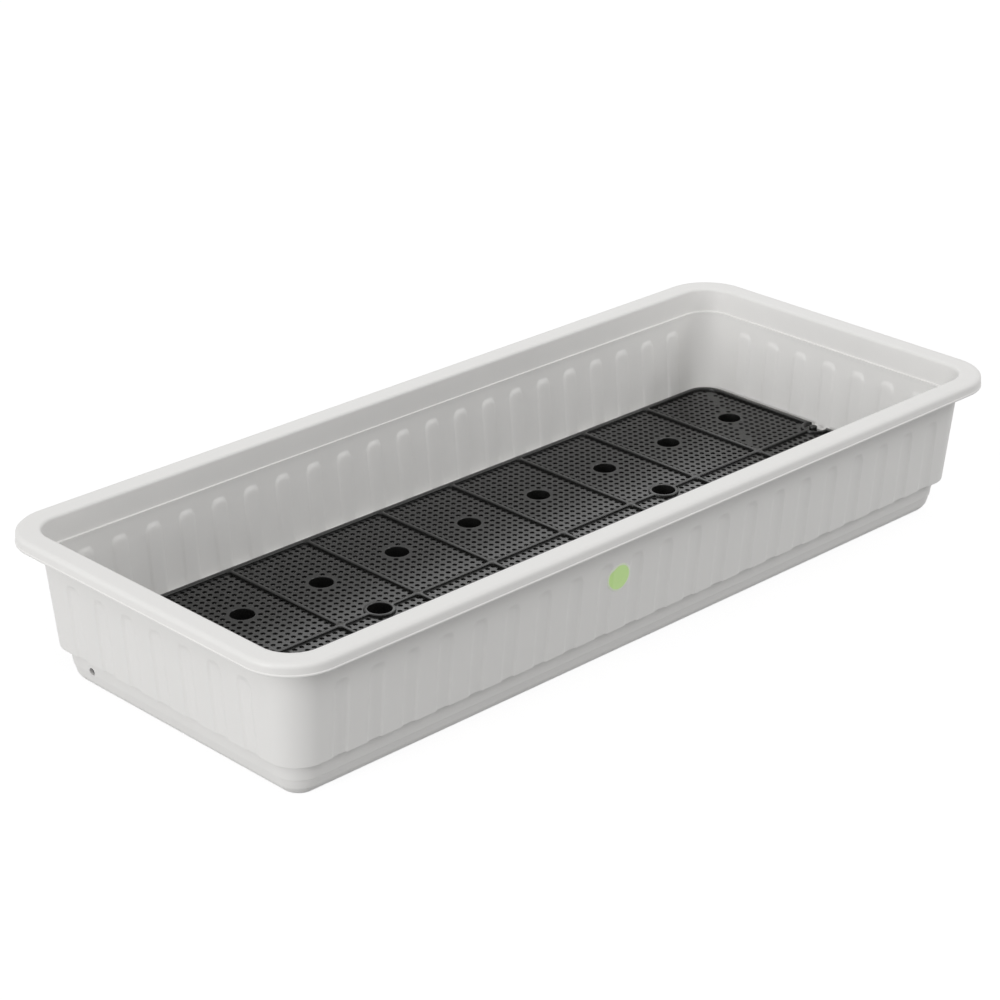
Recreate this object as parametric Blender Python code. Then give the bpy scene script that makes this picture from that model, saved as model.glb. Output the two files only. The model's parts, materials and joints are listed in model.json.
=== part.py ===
"""Rectangular grow tray, one metre long.

A light, fluted trough with a flat rim stands on a recessed plinth. A black perforated grate lies in it
as a false floor: it rests on the ledge above the plinth and on hollow wells that reach the trough's floor.
A round peg stands in the notch at the grate's right end, and a round label sits on the front wall.
X runs along the trough, -Y is its front, and z = 0 is the plane it stands on.
"""
import math

import bmesh
import bpy
from mathutils import Matrix, Vector

MM = 0.001

# Trough, overall
RIM_LENGTH = 1000 * MM
RIM_WIDTH = 427 * MM
HEIGHT = 158 * MM
RIM_CORNER = 54 * MM          # radius of the rim's corners, seen from above
FLOOR = 3 * MM

# Rim: insets are measured inwards from the rim's outer edge
LIP_DROP = 12.5 * MM
LIP_WALL = 2.2 * MM
RIM_SHOULDER = 4.5 * MM
RIM_SKIN = 2.5 * MM
MOUTH_INSET = 23.8 * MM

# Wall
WALL = 3 * MM
WALL_INSET = 21.5 * MM        # outer face where it meets the rim
WALL_DRAFT = 0.082            # inset gained for each unit of height lost
WALL_CORNER = 32 * MM
MOUTH_DRAFT = 0.05
INNER_STEP_DROP = 27 * MM     # the small inner step, below the rim's top

# Plinth
STEP_HEIGHT = 37 * MM
PLINTH_INSET = 38.7 * MM
PLINTH_CREASE_HEIGHT = 17.5 * MM
PLINTH_CREASE_INSET = 41.5 * MM
PLINTH_FOOT_HEIGHT = 8 * MM   # where the plinth starts to turn under
PLINTH_FOOT_INSET = 44.1 * MM
PLINTH_BASE_INSET = 51.5 * MM
PLINTH_CORNER = 28.5 * MM     # radius at the step, with the same centre all the way down

# Flutes: grooves outside, with matching beads inside
FLUTE_PITCH = 41.5 * MM
FLUTE_WIDTH = 18 * MM
FLUTE_DEPTH = 2.5 * MM
FLUTE_TOP_DROP = 42 * MM      # from the rim's top to the flute's rounded end

# Drain hole in the plinth's left end
DRAIN_BORE = 8 * MM
DRAIN_INSET = 89.5 * MM       # from the rim's back edge
DRAIN_HEIGHT = 21.5 * MM

# Grate
GRATE_SEAT_GAP = 0.3 * MM
GRATE_WALL_GAP = 3.6 * MM     # from the beads' crests
GRATE_CORNER = 26 * MM
GRATE_THICKNESS = 2 * MM
RIB_HEIGHT = 2.2 * MM
RIB_WIDTH = 4.5 * MM
LIP_WIDTH = 6.2 * MM
PANEL_LENGTH = 101.6 * MM
POCKET_CORNER = 4 * MM

# Openings in the grate's panels: a plain grid that lets as much water through as the many small holes
OPENING_LENGTH = 15 * MM
OPENING_WIDTH = 11.4 * MM
OPENING_COLUMN_PITCH = 31 * MM
OPENING_ROW_PITCH = 26.5 * MM
OPENING_WEB = 1.5 * MM        # least plastic between an opening and a well or a ring

# Wells
WELL_BORE = 25 * MM
WELL_FOOT_BORE = 17 * MM
WELL_WALL = 1.8 * MM
WELL_SHIFT = 2.1 * MM         # from the middle of a panel's width towards the grate's side
RING_WIDTH = 3.7 * MM
RING_PROUD = 0.2 * MM
RINGED_PANEL = 2              # panels between a ringed well and the grate's end
NOTCH_INSET = 6.95 * MM       # the notch's centre, in from the grate's edge
NOTCH_SETBACK = 0.85 * MM     # flat end of the notch's ring, in from the grate's edge

# Peg
PEG_DIAMETER = 9 * MM
PEG_INSET = 10.45 * MM        # the peg's middle, in from the grate's edge
PEG_PROUD = 1.5 * MM          # above the grate's ribs
PEG_CHAMFER = 0.8 * MM
SOCKET_GAP = 0.3 * MM
SOCKET_WALL = 2.2 * MM
SOCKET_DEPTH = 6 * MM

# Label
LABEL_DIAMETER = 29.5 * MM
LABEL_THICKNESS = 0.4 * MM
LABEL_GAP = 0.3 * MM
LABEL_SIDE = -65 * MM         # from the middle of the front wall
LABEL_HEIGHT = 97 * MM

# Facets
CORNER_STEPS = 6
ROUND_STEPS = 24
ARCH_STEPS = 4
FLUTE_END_RISES = (0.0, 0.7, 0.999)    # levels of a flute's rounded end, in half widths
FLUTE_TIP = 0.3               # narrowest half width of those levels, in half widths
SMOOTH_ANGLE = math.radians(30)
EPSILON = 1 * MM              # how far a cutter runs past what it cuts

# Colours and roughness
LIGHT_GREY = ((0.67, 0.67, 0.65), 0.45)
BLACK = ((0.035, 0.035, 0.033), 0.5)
PALE_GREEN = ((0.56, 0.78, 0.35), 0.6)

LIP_BOTTOM = HEIGHT - LIP_DROP
RIM_UNDERSIDE = HEIGHT - RIM_SKIN
INNER_STEP = HEIGHT - INNER_STEP_DROP
LEDGE = STEP_HEIGHT + WALL
FLUTE_END = HEIGHT - FLUTE_TOP_DROP
PLATE_BOTTOM = LEDGE + GRATE_SEAT_GAP
PLATE_MIDDLE = PLATE_BOTTOM + GRATE_THICKNESS / 2
PLATE_TOP = PLATE_BOTTOM + GRATE_THICKNESS
RIB_TOP = PLATE_TOP + RIB_HEIGHT
PEG_FOOT = PLINTH_CREASE_HEIGHT
GRATE_INSET = WALL_INSET + WALL_DRAFT * (RIM_UNDERSIDE - PLATE_BOTTOM) + WALL + FLUTE_DEPTH + GRATE_WALL_GAP
GRATE_END = RIM_LENGTH / 2 - GRATE_INSET
GRATE_SIDE = RIM_WIDTH / 2 - GRATE_INSET
PANELS = round(2 * GRATE_END / PANEL_LENGTH)
WELL_SIDE = (RIB_WIDTH / 2 + GRATE_SIDE - LIP_WIDTH) / 2 + WELL_SHIFT
NOTCH_CENTRE = GRATE_END - NOTCH_INSET
PEG_CENTRE = GRATE_END - PEG_INSET


def material(name, colour, roughness):
    """One Principled material with the piece's colour."""
    made = bpy.data.materials.new(name)
    made.use_nodes = True
    shader = made.node_tree.nodes["Principled BSDF"]
    shader.inputs["Base Color"].default_value = (*colour, 1.0)
    shader.inputs["Roughness"].default_value = roughness
    return made


def place(name, bm, finish=None):
    """Turn a bmesh into a named object, shaded smooth except at its real edges."""
    bmesh.ops.recalc_face_normals(bm, faces=bm.faces)
    mesh = bpy.data.meshes.new(name)
    bm.to_mesh(mesh)
    bm.free()
    mesh.shade_smooth()
    mesh.set_sharp_from_angle(angle=SMOOTH_ANGLE)
    if finish:
        mesh.materials.append(finish)
    made = bpy.data.objects.new(name, mesh)
    bpy.context.scene.collection.objects.link(made)
    return made


def tool(name, bm):
    """A solid that only cuts or joins another."""
    made = place(name, bm)
    made.hide_render = True
    made.display_type = 'WIRE'
    return made


def combine(target, operand, operation):
    step = target.modifiers.new(operand.name, 'BOOLEAN')
    step.operation = operation
    step.object = operand


def arc(centre, radius, start, steps):
    """Points of a quarter circle, counter-clockwise from the angle start."""
    angles = [start + math.pi / 2 * i / steps for i in range(steps + 1)]
    return [(centre[0] + radius * math.cos(a), centre[1] + radius * math.sin(a)) for a in angles]


def corner_arcs(half_x, half_y, radius, steps=CORNER_STEPS):
    """The four corners of a rounded rectangle, counter-clockwise from the one at +X +Y."""
    x, y = half_x - radius, half_y - radius
    centres = ((x, y), (-x, y), (-x, -y), (x, -y))
    return [arc(centre, radius, i * math.pi / 2, steps) for i, centre in enumerate(centres)]


class Ring:
    """One level of the trough's skin: four rounded corners, and any flute points on the sides between them."""

    def __init__(self, bm, z, inset, corner, flute=None):
        half_x = RIM_LENGTH / 2 - inset
        half_y = RIM_WIDTH / 2 - inset
        arcs = corner_arcs(half_x, half_y, corner)
        self.corners = [[bm.verts.new((x, y, z)) for x, y in points] for points in arcs]
        sides = (((0, half_y), (-1, 0), RIM_LENGTH), ((-half_x, 0), (0, -1), RIM_WIDTH),
                 ((0, -half_y), (1, 0), RIM_LENGTH), ((half_x, 0), (0, 1), RIM_WIDTH))
        self.sides = []
        for middle, along, length in sides:
            points = flute_points(middle, along, flute_count(length), *flute) if flute else []
            self.sides.append([bm.verts.new((x, y, z)) for x, y in points])


def flute_count(length):
    """As many flutes as the wall's straight part has room for at its foot."""
    straight = length - 2 * (wall_inset(STEP_HEIGHT) + WALL_CORNER)
    return math.floor(straight / FLUTE_PITCH)


def flute_points(middle, along, count, half_chord, depth):
    """Plan points of a side's flutes: each is an arch of ARCH_STEPS facets that leans inwards by depth."""
    inwards = (-along[1], along[0])
    points = []
    for i in range(count):
        centre = (i - (count - 1) / 2) * FLUTE_PITCH
        for j in range(ARCH_STEPS + 1):
            across = 2 * j / ARCH_STEPS - 1
            offset = centre + half_chord * across
            lean = depth * (1 - across * across)
            points.append(tuple(m + a * offset + n * lean for m, a, n in zip(middle, along, inwards)))
    return points


def bridge(bm, low, high):
    """Join two rings. A fluted side meets a plain one in a single flat face."""
    for a, b in zip(low.corners, high.corners):
        for i in range(len(a) - 1):
            bm.faces.new((a[i], a[i + 1], b[i + 1], b[i]))
    for side in range(4):
        following = (side + 1) % 4
        a = [low.corners[side][-1], *low.sides[side], low.corners[following][0]]
        b = [high.corners[side][-1], *high.sides[side], high.corners[following][0]]
        if len(a) == len(b):
            for i in range(len(a) - 1):
                bm.faces.new((a[i], a[i + 1], b[i + 1], b[i]))
        else:
            bm.faces.new(a + b[::-1])


def cap(bm, ring):
    bm.faces.new([vert for corner in ring.corners for vert in corner])


def wall_inset(z):
    """Inset of the wall's outer face at a height."""
    return WALL_INSET + WALL_DRAFT * (RIM_UNDERSIDE - z)


def flute_levels(half_chord, depth, bottom):
    """Height, half chord and depth of a flute's levels, up to its rounded end."""
    straight = FLUTE_END - half_chord
    reach = half_chord * half_chord
    levels = [(bottom, half_chord, depth)]
    for share in FLUTE_END_RISES:
        rise = half_chord * share
        narrow = math.sqrt(reach - rise * rise)
        levels.append((straight + rise, max(narrow, FLUTE_TIP * half_chord), depth * (1 - share * share)))
    return levels


def build_trough(finish):
    """The trough is one skin: up the outside, over the rim, down the inside and across the floor."""
    bm = bmesh.new()
    arch_radius = (FLUTE_WIDTH ** 2 / 4 + FLUTE_DEPTH ** 2) / (2 * FLUTE_DEPTH)
    bead_chord = math.sqrt((arch_radius + WALL) ** 2 - (arch_radius - FLUTE_DEPTH + WALL) ** 2)
    shoulder_turn = RIM_SHOULDER * (1 - math.cos(math.pi / 4))

    def ring(z, inset, corner, flute=None):
        return Ring(bm, z, inset, corner, flute)

    def plinth_ring(z, inset, thickness=0.0):
        corner = PLINTH_CORNER - (inset - PLINTH_INSET) - thickness
        return ring(z, inset + thickness, corner)

    outside = [plinth_ring(0, PLINTH_BASE_INSET),
               plinth_ring(PLINTH_FOOT_HEIGHT, PLINTH_FOOT_INSET),
               plinth_ring(PLINTH_CREASE_HEIGHT, PLINTH_CREASE_INSET),
               plinth_ring(STEP_HEIGHT, PLINTH_INSET)]
    for z, half_chord, depth in flute_levels(FLUTE_WIDTH / 2, FLUTE_DEPTH, STEP_HEIGHT):
        outside.append(ring(z, wall_inset(z), WALL_CORNER, (half_chord, depth)))
    outside += [ring(RIM_UNDERSIDE, WALL_INSET, WALL_CORNER),
                ring(RIM_UNDERSIDE, LIP_WALL, RIM_CORNER - LIP_WALL),
                ring(LIP_BOTTOM, LIP_WALL, RIM_CORNER - LIP_WALL),
                ring(LIP_BOTTOM, 0, RIM_CORNER),
                ring(HEIGHT - RIM_SHOULDER, 0, RIM_CORNER),
                ring(HEIGHT - shoulder_turn, shoulder_turn, RIM_CORNER - shoulder_turn),
                ring(HEIGHT, RIM_SHOULDER, RIM_CORNER - RIM_SHOULDER)]
    mouth_foot = MOUTH_INSET + MOUTH_DRAFT * INNER_STEP_DROP
    inner_corner = WALL_CORNER - WALL
    inside = [ring(HEIGHT, MOUTH_INSET, inner_corner),
              ring(INNER_STEP, mouth_foot, inner_corner),
              ring(INNER_STEP, wall_inset(INNER_STEP) + WALL, inner_corner)]
    for z, half_chord, depth in reversed(flute_levels(bead_chord, FLUTE_DEPTH, LEDGE)):
        inside.append(ring(z, wall_inset(z) + WALL, inner_corner, (half_chord, depth)))
    inside += [plinth_ring(LEDGE, PLINTH_INSET, WALL),
               plinth_ring(PLINTH_CREASE_HEIGHT, PLINTH_CREASE_INSET, WALL),
               plinth_ring(PLINTH_FOOT_HEIGHT, PLINTH_FOOT_INSET, WALL),
               plinth_ring(FLOOR, PLINTH_BASE_INSET, WALL)]
    skin = outside + inside
    for low, high in zip(skin, skin[1:]):
        bridge(bm, low, high)
    cap(bm, skin[0])
    cap(bm, skin[-1])
    trough = place("trough", bm, finish)
    combine(trough, peg_boss(), 'UNION')
    combine(trough, peg_bore(), 'DIFFERENCE')
    combine(trough, drain_cutter(), 'DIFFERENCE')
    return trough


def cone(bm, x, y, bottom, top, bottom_radius, top_radius, steps=ROUND_STEPS):
    """An upright closed cone or cylinder."""
    bmesh.ops.create_cone(bm, cap_ends=True, segments=steps, radius1=bottom_radius, radius2=top_radius,
                          depth=top - bottom, matrix=Matrix.Translation((x, y, (bottom + top) / 2)))


def peg_boss():
    """A boss that rises from the floor and carries the peg, cut off inside the plinth's slanted end."""
    bm = bmesh.new()
    radius = PEG_DIAMETER / 2 + SOCKET_GAP + SOCKET_WALL
    cone(bm, PEG_CENTRE, 0, FLOOR / 2, PEG_FOOT + SOCKET_DEPTH, radius, radius)
    levels = ((0, PLINTH_BASE_INSET), (PLINTH_FOOT_HEIGHT, PLINTH_FOOT_INSET),
              (PLINTH_CREASE_HEIGHT, PLINTH_CREASE_INSET))
    for (low, low_inset), (high, high_inset) in zip(levels, levels[1:]):
        on_plane = Vector((RIM_LENGTH / 2 - low_inset - WALL / 2, 0, low))
        outwards = Vector((high - low, 0, high_inset - low_inset)).normalized()
        everything = [*bm.verts, *bm.edges, *bm.faces]
        cut = bmesh.ops.bisect_plane(bm, geom=everything, plane_co=on_plane, plane_no=outwards, clear_outer=True)
        edges = [made for made in cut["geom_cut"] if isinstance(made, bmesh.types.BMEdge)]
        bmesh.ops.contextual_create(bm, geom=edges)
    return tool("peg_boss", bm)


def peg_bore():
    """The blind bore in the boss that the peg stands in."""
    bm = bmesh.new()
    radius = PEG_DIAMETER / 2 + SOCKET_GAP
    cone(bm, PEG_CENTRE, 0, PEG_FOOT, PEG_FOOT + SOCKET_DEPTH + EPSILON, radius, radius)
    return tool("peg_bore", bm)


def turned(bm, profile, x, steps=ROUND_STEPS):
    """Turn radius and height points about the upright axis at x on the middle line, and cap both ends."""
    rows = []
    for radius, z in profile:
        angles = [2 * math.pi * i / steps for i in range(steps)]
        rows.append([bm.verts.new((x + radius * math.cos(a), radius * math.sin(a), z)) for a in angles])
    for a, b in zip(rows, rows[1:]):
        for i in range(steps):
            j = (i + 1) % steps
            bm.faces.new((a[i], a[j], b[j], b[i]))
    bm.faces.new(rows[0])
    bm.faces.new(rows[-1])


def drain_cutter():
    """The drain hole runs lengthways through the plinth's left end."""
    bm = bmesh.new()
    start = PLINTH_INSET / 2
    end = PLINTH_BASE_INSET + PLINTH_CORNER
    turn = Matrix.Rotation(math.pi / 2, 4, 'Y')
    middle = Vector(((start + end - RIM_LENGTH) / 2, RIM_WIDTH / 2 - DRAIN_INSET, DRAIN_HEIGHT))
    bmesh.ops.create_cone(bm, cap_ends=True, segments=ROUND_STEPS, radius1=DRAIN_BORE / 2,
                          radius2=DRAIN_BORE / 2, depth=end - start, matrix=Matrix.Translation(middle) @ turn)
    return tool("drain_cutter", bm)


def prism(bm, outline, bottom, top):
    """An upright solid between two heights on a plan outline."""
    low = [bm.verts.new((x, y, bottom)) for x, y in outline]
    high = [bm.verts.new((x, y, top)) for x, y in outline]
    for i in range(len(outline)):
        j = (i + 1) % len(outline)
        bm.faces.new((low[i], low[j], high[j], high[i]))
    bm.faces.new(low)
    bm.faces.new(high)


def slab(bm, half_x, half_y, radii, bottom, top, centre=(0, 0)):
    """A flat slab with four rounded corners, their radii given counter-clockwise from +X +Y."""
    arcs = [corner_arcs(half_x, half_y, radius)[i] for i, radius in enumerate(radii)]
    prism(bm, [(centre[0] + x, centre[1] + y) for points in arcs for x, y in points], bottom, top)


def panel_middle(i):
    return (i - (PANELS - 1) / 2) * PANEL_LENGTH


def well_places():
    """Plan positions of the panel wells, one in the middle of each panel."""
    return [(panel_middle(i), side * WELL_SIDE) for i in range(PANELS) for side in (-1, 1)]


def ringed_well_places():
    """Plan positions of the ringed wells on the middle line."""
    return [(panel_middle(i), 0) for i in (RINGED_PANEL, PANELS - 1 - RINGED_PANEL)]


def well_radius(z, foot, mouth):
    """Radius at a height on the cone from foot, at the floor, to mouth, at the plate's top."""
    share = (z - FLOOR) / (PLATE_TOP - FLOOR)
    return foot + (mouth - foot) * share


def pockets():
    """Centre, half sizes and corner radii of each pocket between the ribs."""
    lines = [(i - PANELS / 2) * PANEL_LENGTH for i in range(1, PANELS)]
    end = GRATE_END - LIP_WIDTH + RIB_WIDTH / 2
    edges = [-end, *lines, end]
    low_y = RIB_WIDTH / 2
    high_y = GRATE_SIDE - LIP_WIDTH
    outer_corner = GRATE_CORNER - LIP_WIDTH
    made = []
    for i, (left, right) in enumerate(zip(edges, edges[1:])):
        for side in (-1, 1):
            radii = [POCKET_CORNER] * 4
            if i == len(edges) - 2:
                radii[0 if side > 0 else 3] = outer_corner
            if i == 0:
                radii[1 if side > 0 else 2] = outer_corner
            centre = ((left + right) / 2, side * (low_y + high_y) / 2)
            made.append((centre, ((right - left - RIB_WIDTH) / 2, (high_y - low_y) / 2), radii))
    return made


def rows_of(span, pitch):
    """Places about 0, a pitch apart, as many as the span has room for."""
    count = math.floor(span / pitch)
    return [(i - (count - 1) / 2) * pitch for i in range(count)]


def opening_is_clear(x, y):
    """Whether an opening centred at x, y keeps clear of every well, ring and notch."""
    notches = [(side * NOTCH_CENTRE, 0) for side in (-1, 1)]
    rounds = [(at, WELL_BORE / 2 + WELL_WALL) for at in well_places()]
    rounds += [(at, WELL_BORE / 2 + RING_WIDTH) for at in ringed_well_places() + notches]
    for (round_x, round_y), radius in rounds:
        gap_x = max(abs(x - round_x) - OPENING_LENGTH / 2, 0)
        gap_y = max(abs(y - round_y) - OPENING_WIDTH / 2, 0)
        if math.hypot(gap_x, gap_y) < radius + OPENING_WEB:
            return False
    return True


def opening_cutter():
    """The panels' openings: a grid in each pocket, left out round the wells and rings."""
    bm = bmesh.new()
    half_x, half_y = OPENING_LENGTH / 2, OPENING_WIDTH / 2
    for centre, (pocket_x, pocket_y), radii in pockets():
        for column in rows_of(2 * pocket_x, OPENING_COLUMN_PITCH):
            for row in rows_of(2 * pocket_y, OPENING_ROW_PITCH):
                x, y = centre[0] + column, centre[1] + row
                if opening_is_clear(x, y):
                    outline = [(x + half_x, y + half_y), (x - half_x, y + half_y),
                               (x - half_x, y - half_y), (x + half_x, y - half_y)]
                    prism(bm, outline, PLATE_BOTTOM - EPSILON, PLATE_TOP + EPSILON)
    return tool("panel_openings", bm)


def build_grate(finish):
    """The grate: an open-work plate with pockets between its ribs, ringed wells and hollow legs."""
    bm = bmesh.new()
    slab(bm, GRATE_END, GRATE_SIDE, [GRATE_CORNER] * 4, PLATE_BOTTOM, RIB_TOP)
    grate = place("grate", bm, finish)

    bm = bmesh.new()
    for centre, (half_x, half_y), radii in pockets():
        slab(bm, half_x, half_y, radii, PLATE_TOP, RIB_TOP + EPSILON, centre)
    combine(grate, tool("grate_pockets", bm), 'DIFFERENCE')

    foot = FLOOR + GRATE_SEAT_GAP
    bm = bmesh.new()
    for x, y in well_places() + ringed_well_places():
        cone(bm, x, y, foot, PLATE_MIDDLE, WELL_FOOT_BORE / 2 + WELL_WALL,
             well_radius(PLATE_MIDDLE, WELL_FOOT_BORE / 2, WELL_BORE / 2) + WELL_WALL)
    combine(grate, tool("well_bodies", bm), 'UNION')

    bm = bmesh.new()
    ring_radius = WELL_BORE / 2 + RING_WIDTH
    for x, y in ringed_well_places():
        cone(bm, x, y, PLATE_MIDDLE, RIB_TOP + RING_PROUD, ring_radius, ring_radius)
    for side in (-1, 1):
        notch_ring(bm, side)
    combine(grate, tool("well_rings", bm), 'UNION')

    bm = bmesh.new()
    for x, y in well_places() + ringed_well_places():
        cone(bm, x, y, foot - EPSILON, RIB_TOP + EPSILON, WELL_FOOT_BORE / 2,
             well_radius(RIB_TOP + EPSILON, WELL_FOOT_BORE / 2, WELL_BORE / 2))
    for side in (-1, 1):
        cone(bm, side * NOTCH_CENTRE, 0, PLATE_BOTTOM - EPSILON, RIB_TOP + EPSILON, WELL_BORE / 2, WELL_BORE / 2)
    combine(grate, tool("well_bores", bm), 'DIFFERENCE')
    combine(grate, opening_cutter(), 'DIFFERENCE')
    return grate


def notch_ring(bm, side):
    """The raised ring round an end notch, cut off flat at the grate's end."""
    radius = WELL_BORE / 2 + RING_WIDTH
    limit = math.acos((NOTCH_INSET - NOTCH_SETBACK) / radius)
    sweep = 2 * (math.pi - limit)
    angles = [limit + sweep * i / ROUND_STEPS for i in range(ROUND_STEPS + 1)]
    outline = [(side * (NOTCH_CENTRE + radius * math.cos(a)), radius * math.sin(a)) for a in angles]
    prism(bm, outline, PLATE_MIDDLE, RIB_TOP + RING_PROUD)


def build_peg(finish):
    """The peg stands in its boss and ends just above the grate's ribs."""
    bm = bmesh.new()
    radius = PEG_DIAMETER / 2
    top = RIB_TOP + PEG_PROUD
    profile = ((radius, PEG_FOOT + SOCKET_GAP), (radius, top - PEG_CHAMFER), (radius - PEG_CHAMFER, top))
    turned(bm, profile, PEG_CENTRE)
    return place("locating_peg", bm, finish)


def build_label(finish):
    """A thin disc that lies on the front wall, over the land between two flutes and one flute's edge."""
    bm = bmesh.new()
    cone(bm, 0, 0, 0, LABEL_THICKNESS, LABEL_DIAMETER / 2, LABEL_DIAMETER / 2, 2 * ROUND_STEPS)
    label = place("label", bm, finish)
    lean = math.atan(WALL_DRAFT)
    label.rotation_euler = (math.pi / 2 + lean, 0, 0)
    outwards = Vector((0, -math.cos(lean), -math.sin(lean)))
    on_wall = Vector((LABEL_SIDE, -RIM_WIDTH / 2 + wall_inset(LABEL_HEIGHT), LABEL_HEIGHT))
    label.location = on_wall + outwards * LABEL_GAP
    return label


def main():
    for old in list(bpy.data.objects):
        bpy.data.objects.remove(old, do_unlink=True)
    black_plastic = material("black_plastic", *BLACK)
    build_trough(material("light_grey_plastic", *LIGHT_GREY))
    build_grate(black_plastic)
    build_peg(black_plastic)
    build_label(material("green_label", *PALE_GREEN))


main()
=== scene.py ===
"""Rectangular grow tray: the finished look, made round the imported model.

A light grey, fluted trough with a flat rim stands on a recessed plinth. A black perforated grate lies in it
on hollow wells, a round peg stands in the grate's end notch, and a bare round label sits on the front wall.
The file is laid out as an add-on and is run as a script. X runs along the trough, -Y is its front.
"""
import json
import math

import bmesh
import bpy
from bpy.props import FloatProperty, FloatVectorProperty, IntProperty, PointerProperty
from bpy.types import Operator, Panel, PropertyGroup
from mathutils import Matrix, Vector

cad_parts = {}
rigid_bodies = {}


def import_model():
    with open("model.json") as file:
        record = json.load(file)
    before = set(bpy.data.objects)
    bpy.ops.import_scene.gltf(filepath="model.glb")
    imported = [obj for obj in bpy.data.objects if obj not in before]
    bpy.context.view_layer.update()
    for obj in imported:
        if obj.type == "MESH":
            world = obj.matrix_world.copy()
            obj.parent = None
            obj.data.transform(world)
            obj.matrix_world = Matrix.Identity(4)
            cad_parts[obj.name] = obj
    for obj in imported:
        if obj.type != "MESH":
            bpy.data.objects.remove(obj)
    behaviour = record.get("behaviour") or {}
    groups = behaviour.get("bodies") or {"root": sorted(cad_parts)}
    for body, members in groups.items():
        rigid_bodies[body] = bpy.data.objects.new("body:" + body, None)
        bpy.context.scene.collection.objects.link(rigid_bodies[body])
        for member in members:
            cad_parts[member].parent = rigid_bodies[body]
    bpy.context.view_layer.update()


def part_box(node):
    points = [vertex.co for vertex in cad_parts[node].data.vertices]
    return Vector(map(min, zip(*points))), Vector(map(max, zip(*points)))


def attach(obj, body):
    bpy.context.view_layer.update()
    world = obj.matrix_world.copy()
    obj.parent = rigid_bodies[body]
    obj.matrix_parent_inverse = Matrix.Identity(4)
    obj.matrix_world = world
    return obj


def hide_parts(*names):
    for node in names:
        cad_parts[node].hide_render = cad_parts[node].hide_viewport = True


bl_info = {
    "name": "Grow Tray",
    "version": (1, 0, 0),
    "blender": (4, 5, 0),
    "location": "View3D > Sidebar > Grow Tray",
    "description": "Builds a fluted grow tray with a perforated lift-out grate",
    "category": "Add Mesh",
}

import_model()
TROUGH_LOW, TROUGH_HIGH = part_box("trough")
GRATE_LOW, GRATE_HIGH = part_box("grate")
PEG_LOW, PEG_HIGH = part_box("locating_peg")

MM = 0.001
WELD = 0.02 * MM              # points nearer than this are one point
ROUND_STEPS = 32
WHITE = (1.0, 1.0, 1.0, 1.0)
MATH = "ShaderNodeMath"
VECTOR = "ShaderNodeVectorMath"
XYZ = "ShaderNodeCombineXYZ"
NUMBER = 'NodeSocketFloat'
COUNT = 'NodeSocketInt'


def linear(code):
    """Turn an sRGB hex code into linear red, green, blue and alpha."""
    values = [int(code[i:i + 2], 16) / 255 for i in (1, 3, 5)]
    return (*[v / 12.92 if v <= 0.04045 else ((v + 0.055) / 1.055) ** 2.4 for v in values], 1.0)


def length(name, description, default):
    return FloatProperty(name=name, description=description, default=default, min=0.0,
                         unit='LENGTH', precision=5)


def colour(name, description, code):
    return FloatVectorProperty(name=name, description=description, default=linear(code), size=4,
                               min=0.0, max=1.0, subtype='COLOR')


def skin_roughness(default):
    return FloatProperty(name="Roughness", description="Roughness of the moulded skin", default=default,
                         min=0.0, max=1.0, subtype='FACTOR')


def lamp_power(name, place, default):
    return FloatProperty(name=name, description=f"Power in watts of the lamp {place}", default=default,
                         min=0.0)


class TroughSettings(PropertyGroup):
    """Sizes and finish of the trough."""
    rim_length: length("Length", "Outer length of the rim", TROUGH_HIGH.x - TROUGH_LOW.x)
    rim_width: length("Width", "Outer width of the rim", TROUGH_HIGH.y - TROUGH_LOW.y)
    height: length("Height", "Height over the rim", TROUGH_HIGH.z)
    rim_corner: length("Rim corner", "Radius of the rim's corners in plan", 54 * MM)
    flute_pitch: length("Flute pitch", "Distance from flute to flute", 41.5 * MM)
    flute_width: length("Flute width", "Width of a groove on the outside", 18 * MM)
    bead_width: length("Bead width", "Width of the matching bead on the inside", 20 * MM)
    flute_depth: length("Flute depth", "Depth of a groove", 1.8 * MM)
    flute_top: length("Flute top", "Height of the grooves' rounded ends", 116.4 * MM)
    bow: length("Bow", "How far the long walls belly outwards halfway along", 2.2 * MM)
    body_colour: colour("Colour", "Colour of the moulded plastic", "#eeedeb")
    roughness: skin_roughness(0.46)


class GrateSettings(PropertyGroup):
    """Sizes and finish of the perforated grate."""
    panel_pitch: length("Panel pitch", "Distance from panel to panel", 101.6 * MM)
    panels: IntProperty(name="Panels", description="Panels along the grate", default=9, min=3)
    rib_width: length("Rib width", "Width of the ribs between the panels", 4.5 * MM)
    lip_width: length("Lip width", "Width of the raised lip all round", 6.2 * MM)
    rib_height: length("Rib height", "Height of ribs and lip over the panels", 2.2 * MM)
    thickness: length("Thickness", "Thickness of the panels", 2.2 * MM)
    rib_depth: length("Rib depth", "Height of the ribs from their underside", 4.2 * MM)
    hole_pitch: length("Hole pitch", "Distance from hole to hole", 8.43 * MM)
    hole_diameter: length("Hole diameter", "Width of the small holes", 5.4 * MM)
    hole_columns: IntProperty(name="Hole columns", description="Holes along a panel", default=12, min=2)
    hole_rows: IntProperty(name="Hole rows", description="Holes across a panel", default=20, min=2)
    well_bore: length("Well bore", "Width of a well's mouth", 25 * MM)
    well_side: length("Well row", "From the middle line to each row of wells", 86.85 * MM)
    body_colour: colour("Colour", "Colour of the moulded plastic", "#171716")
    roughness: skin_roughness(0.24)


class PegSettings(PropertyGroup):
    """Size of the locating peg."""
    chamfer: length("Chamfer", "Rounding of the peg's top edge", 0.9 * MM)


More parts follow.
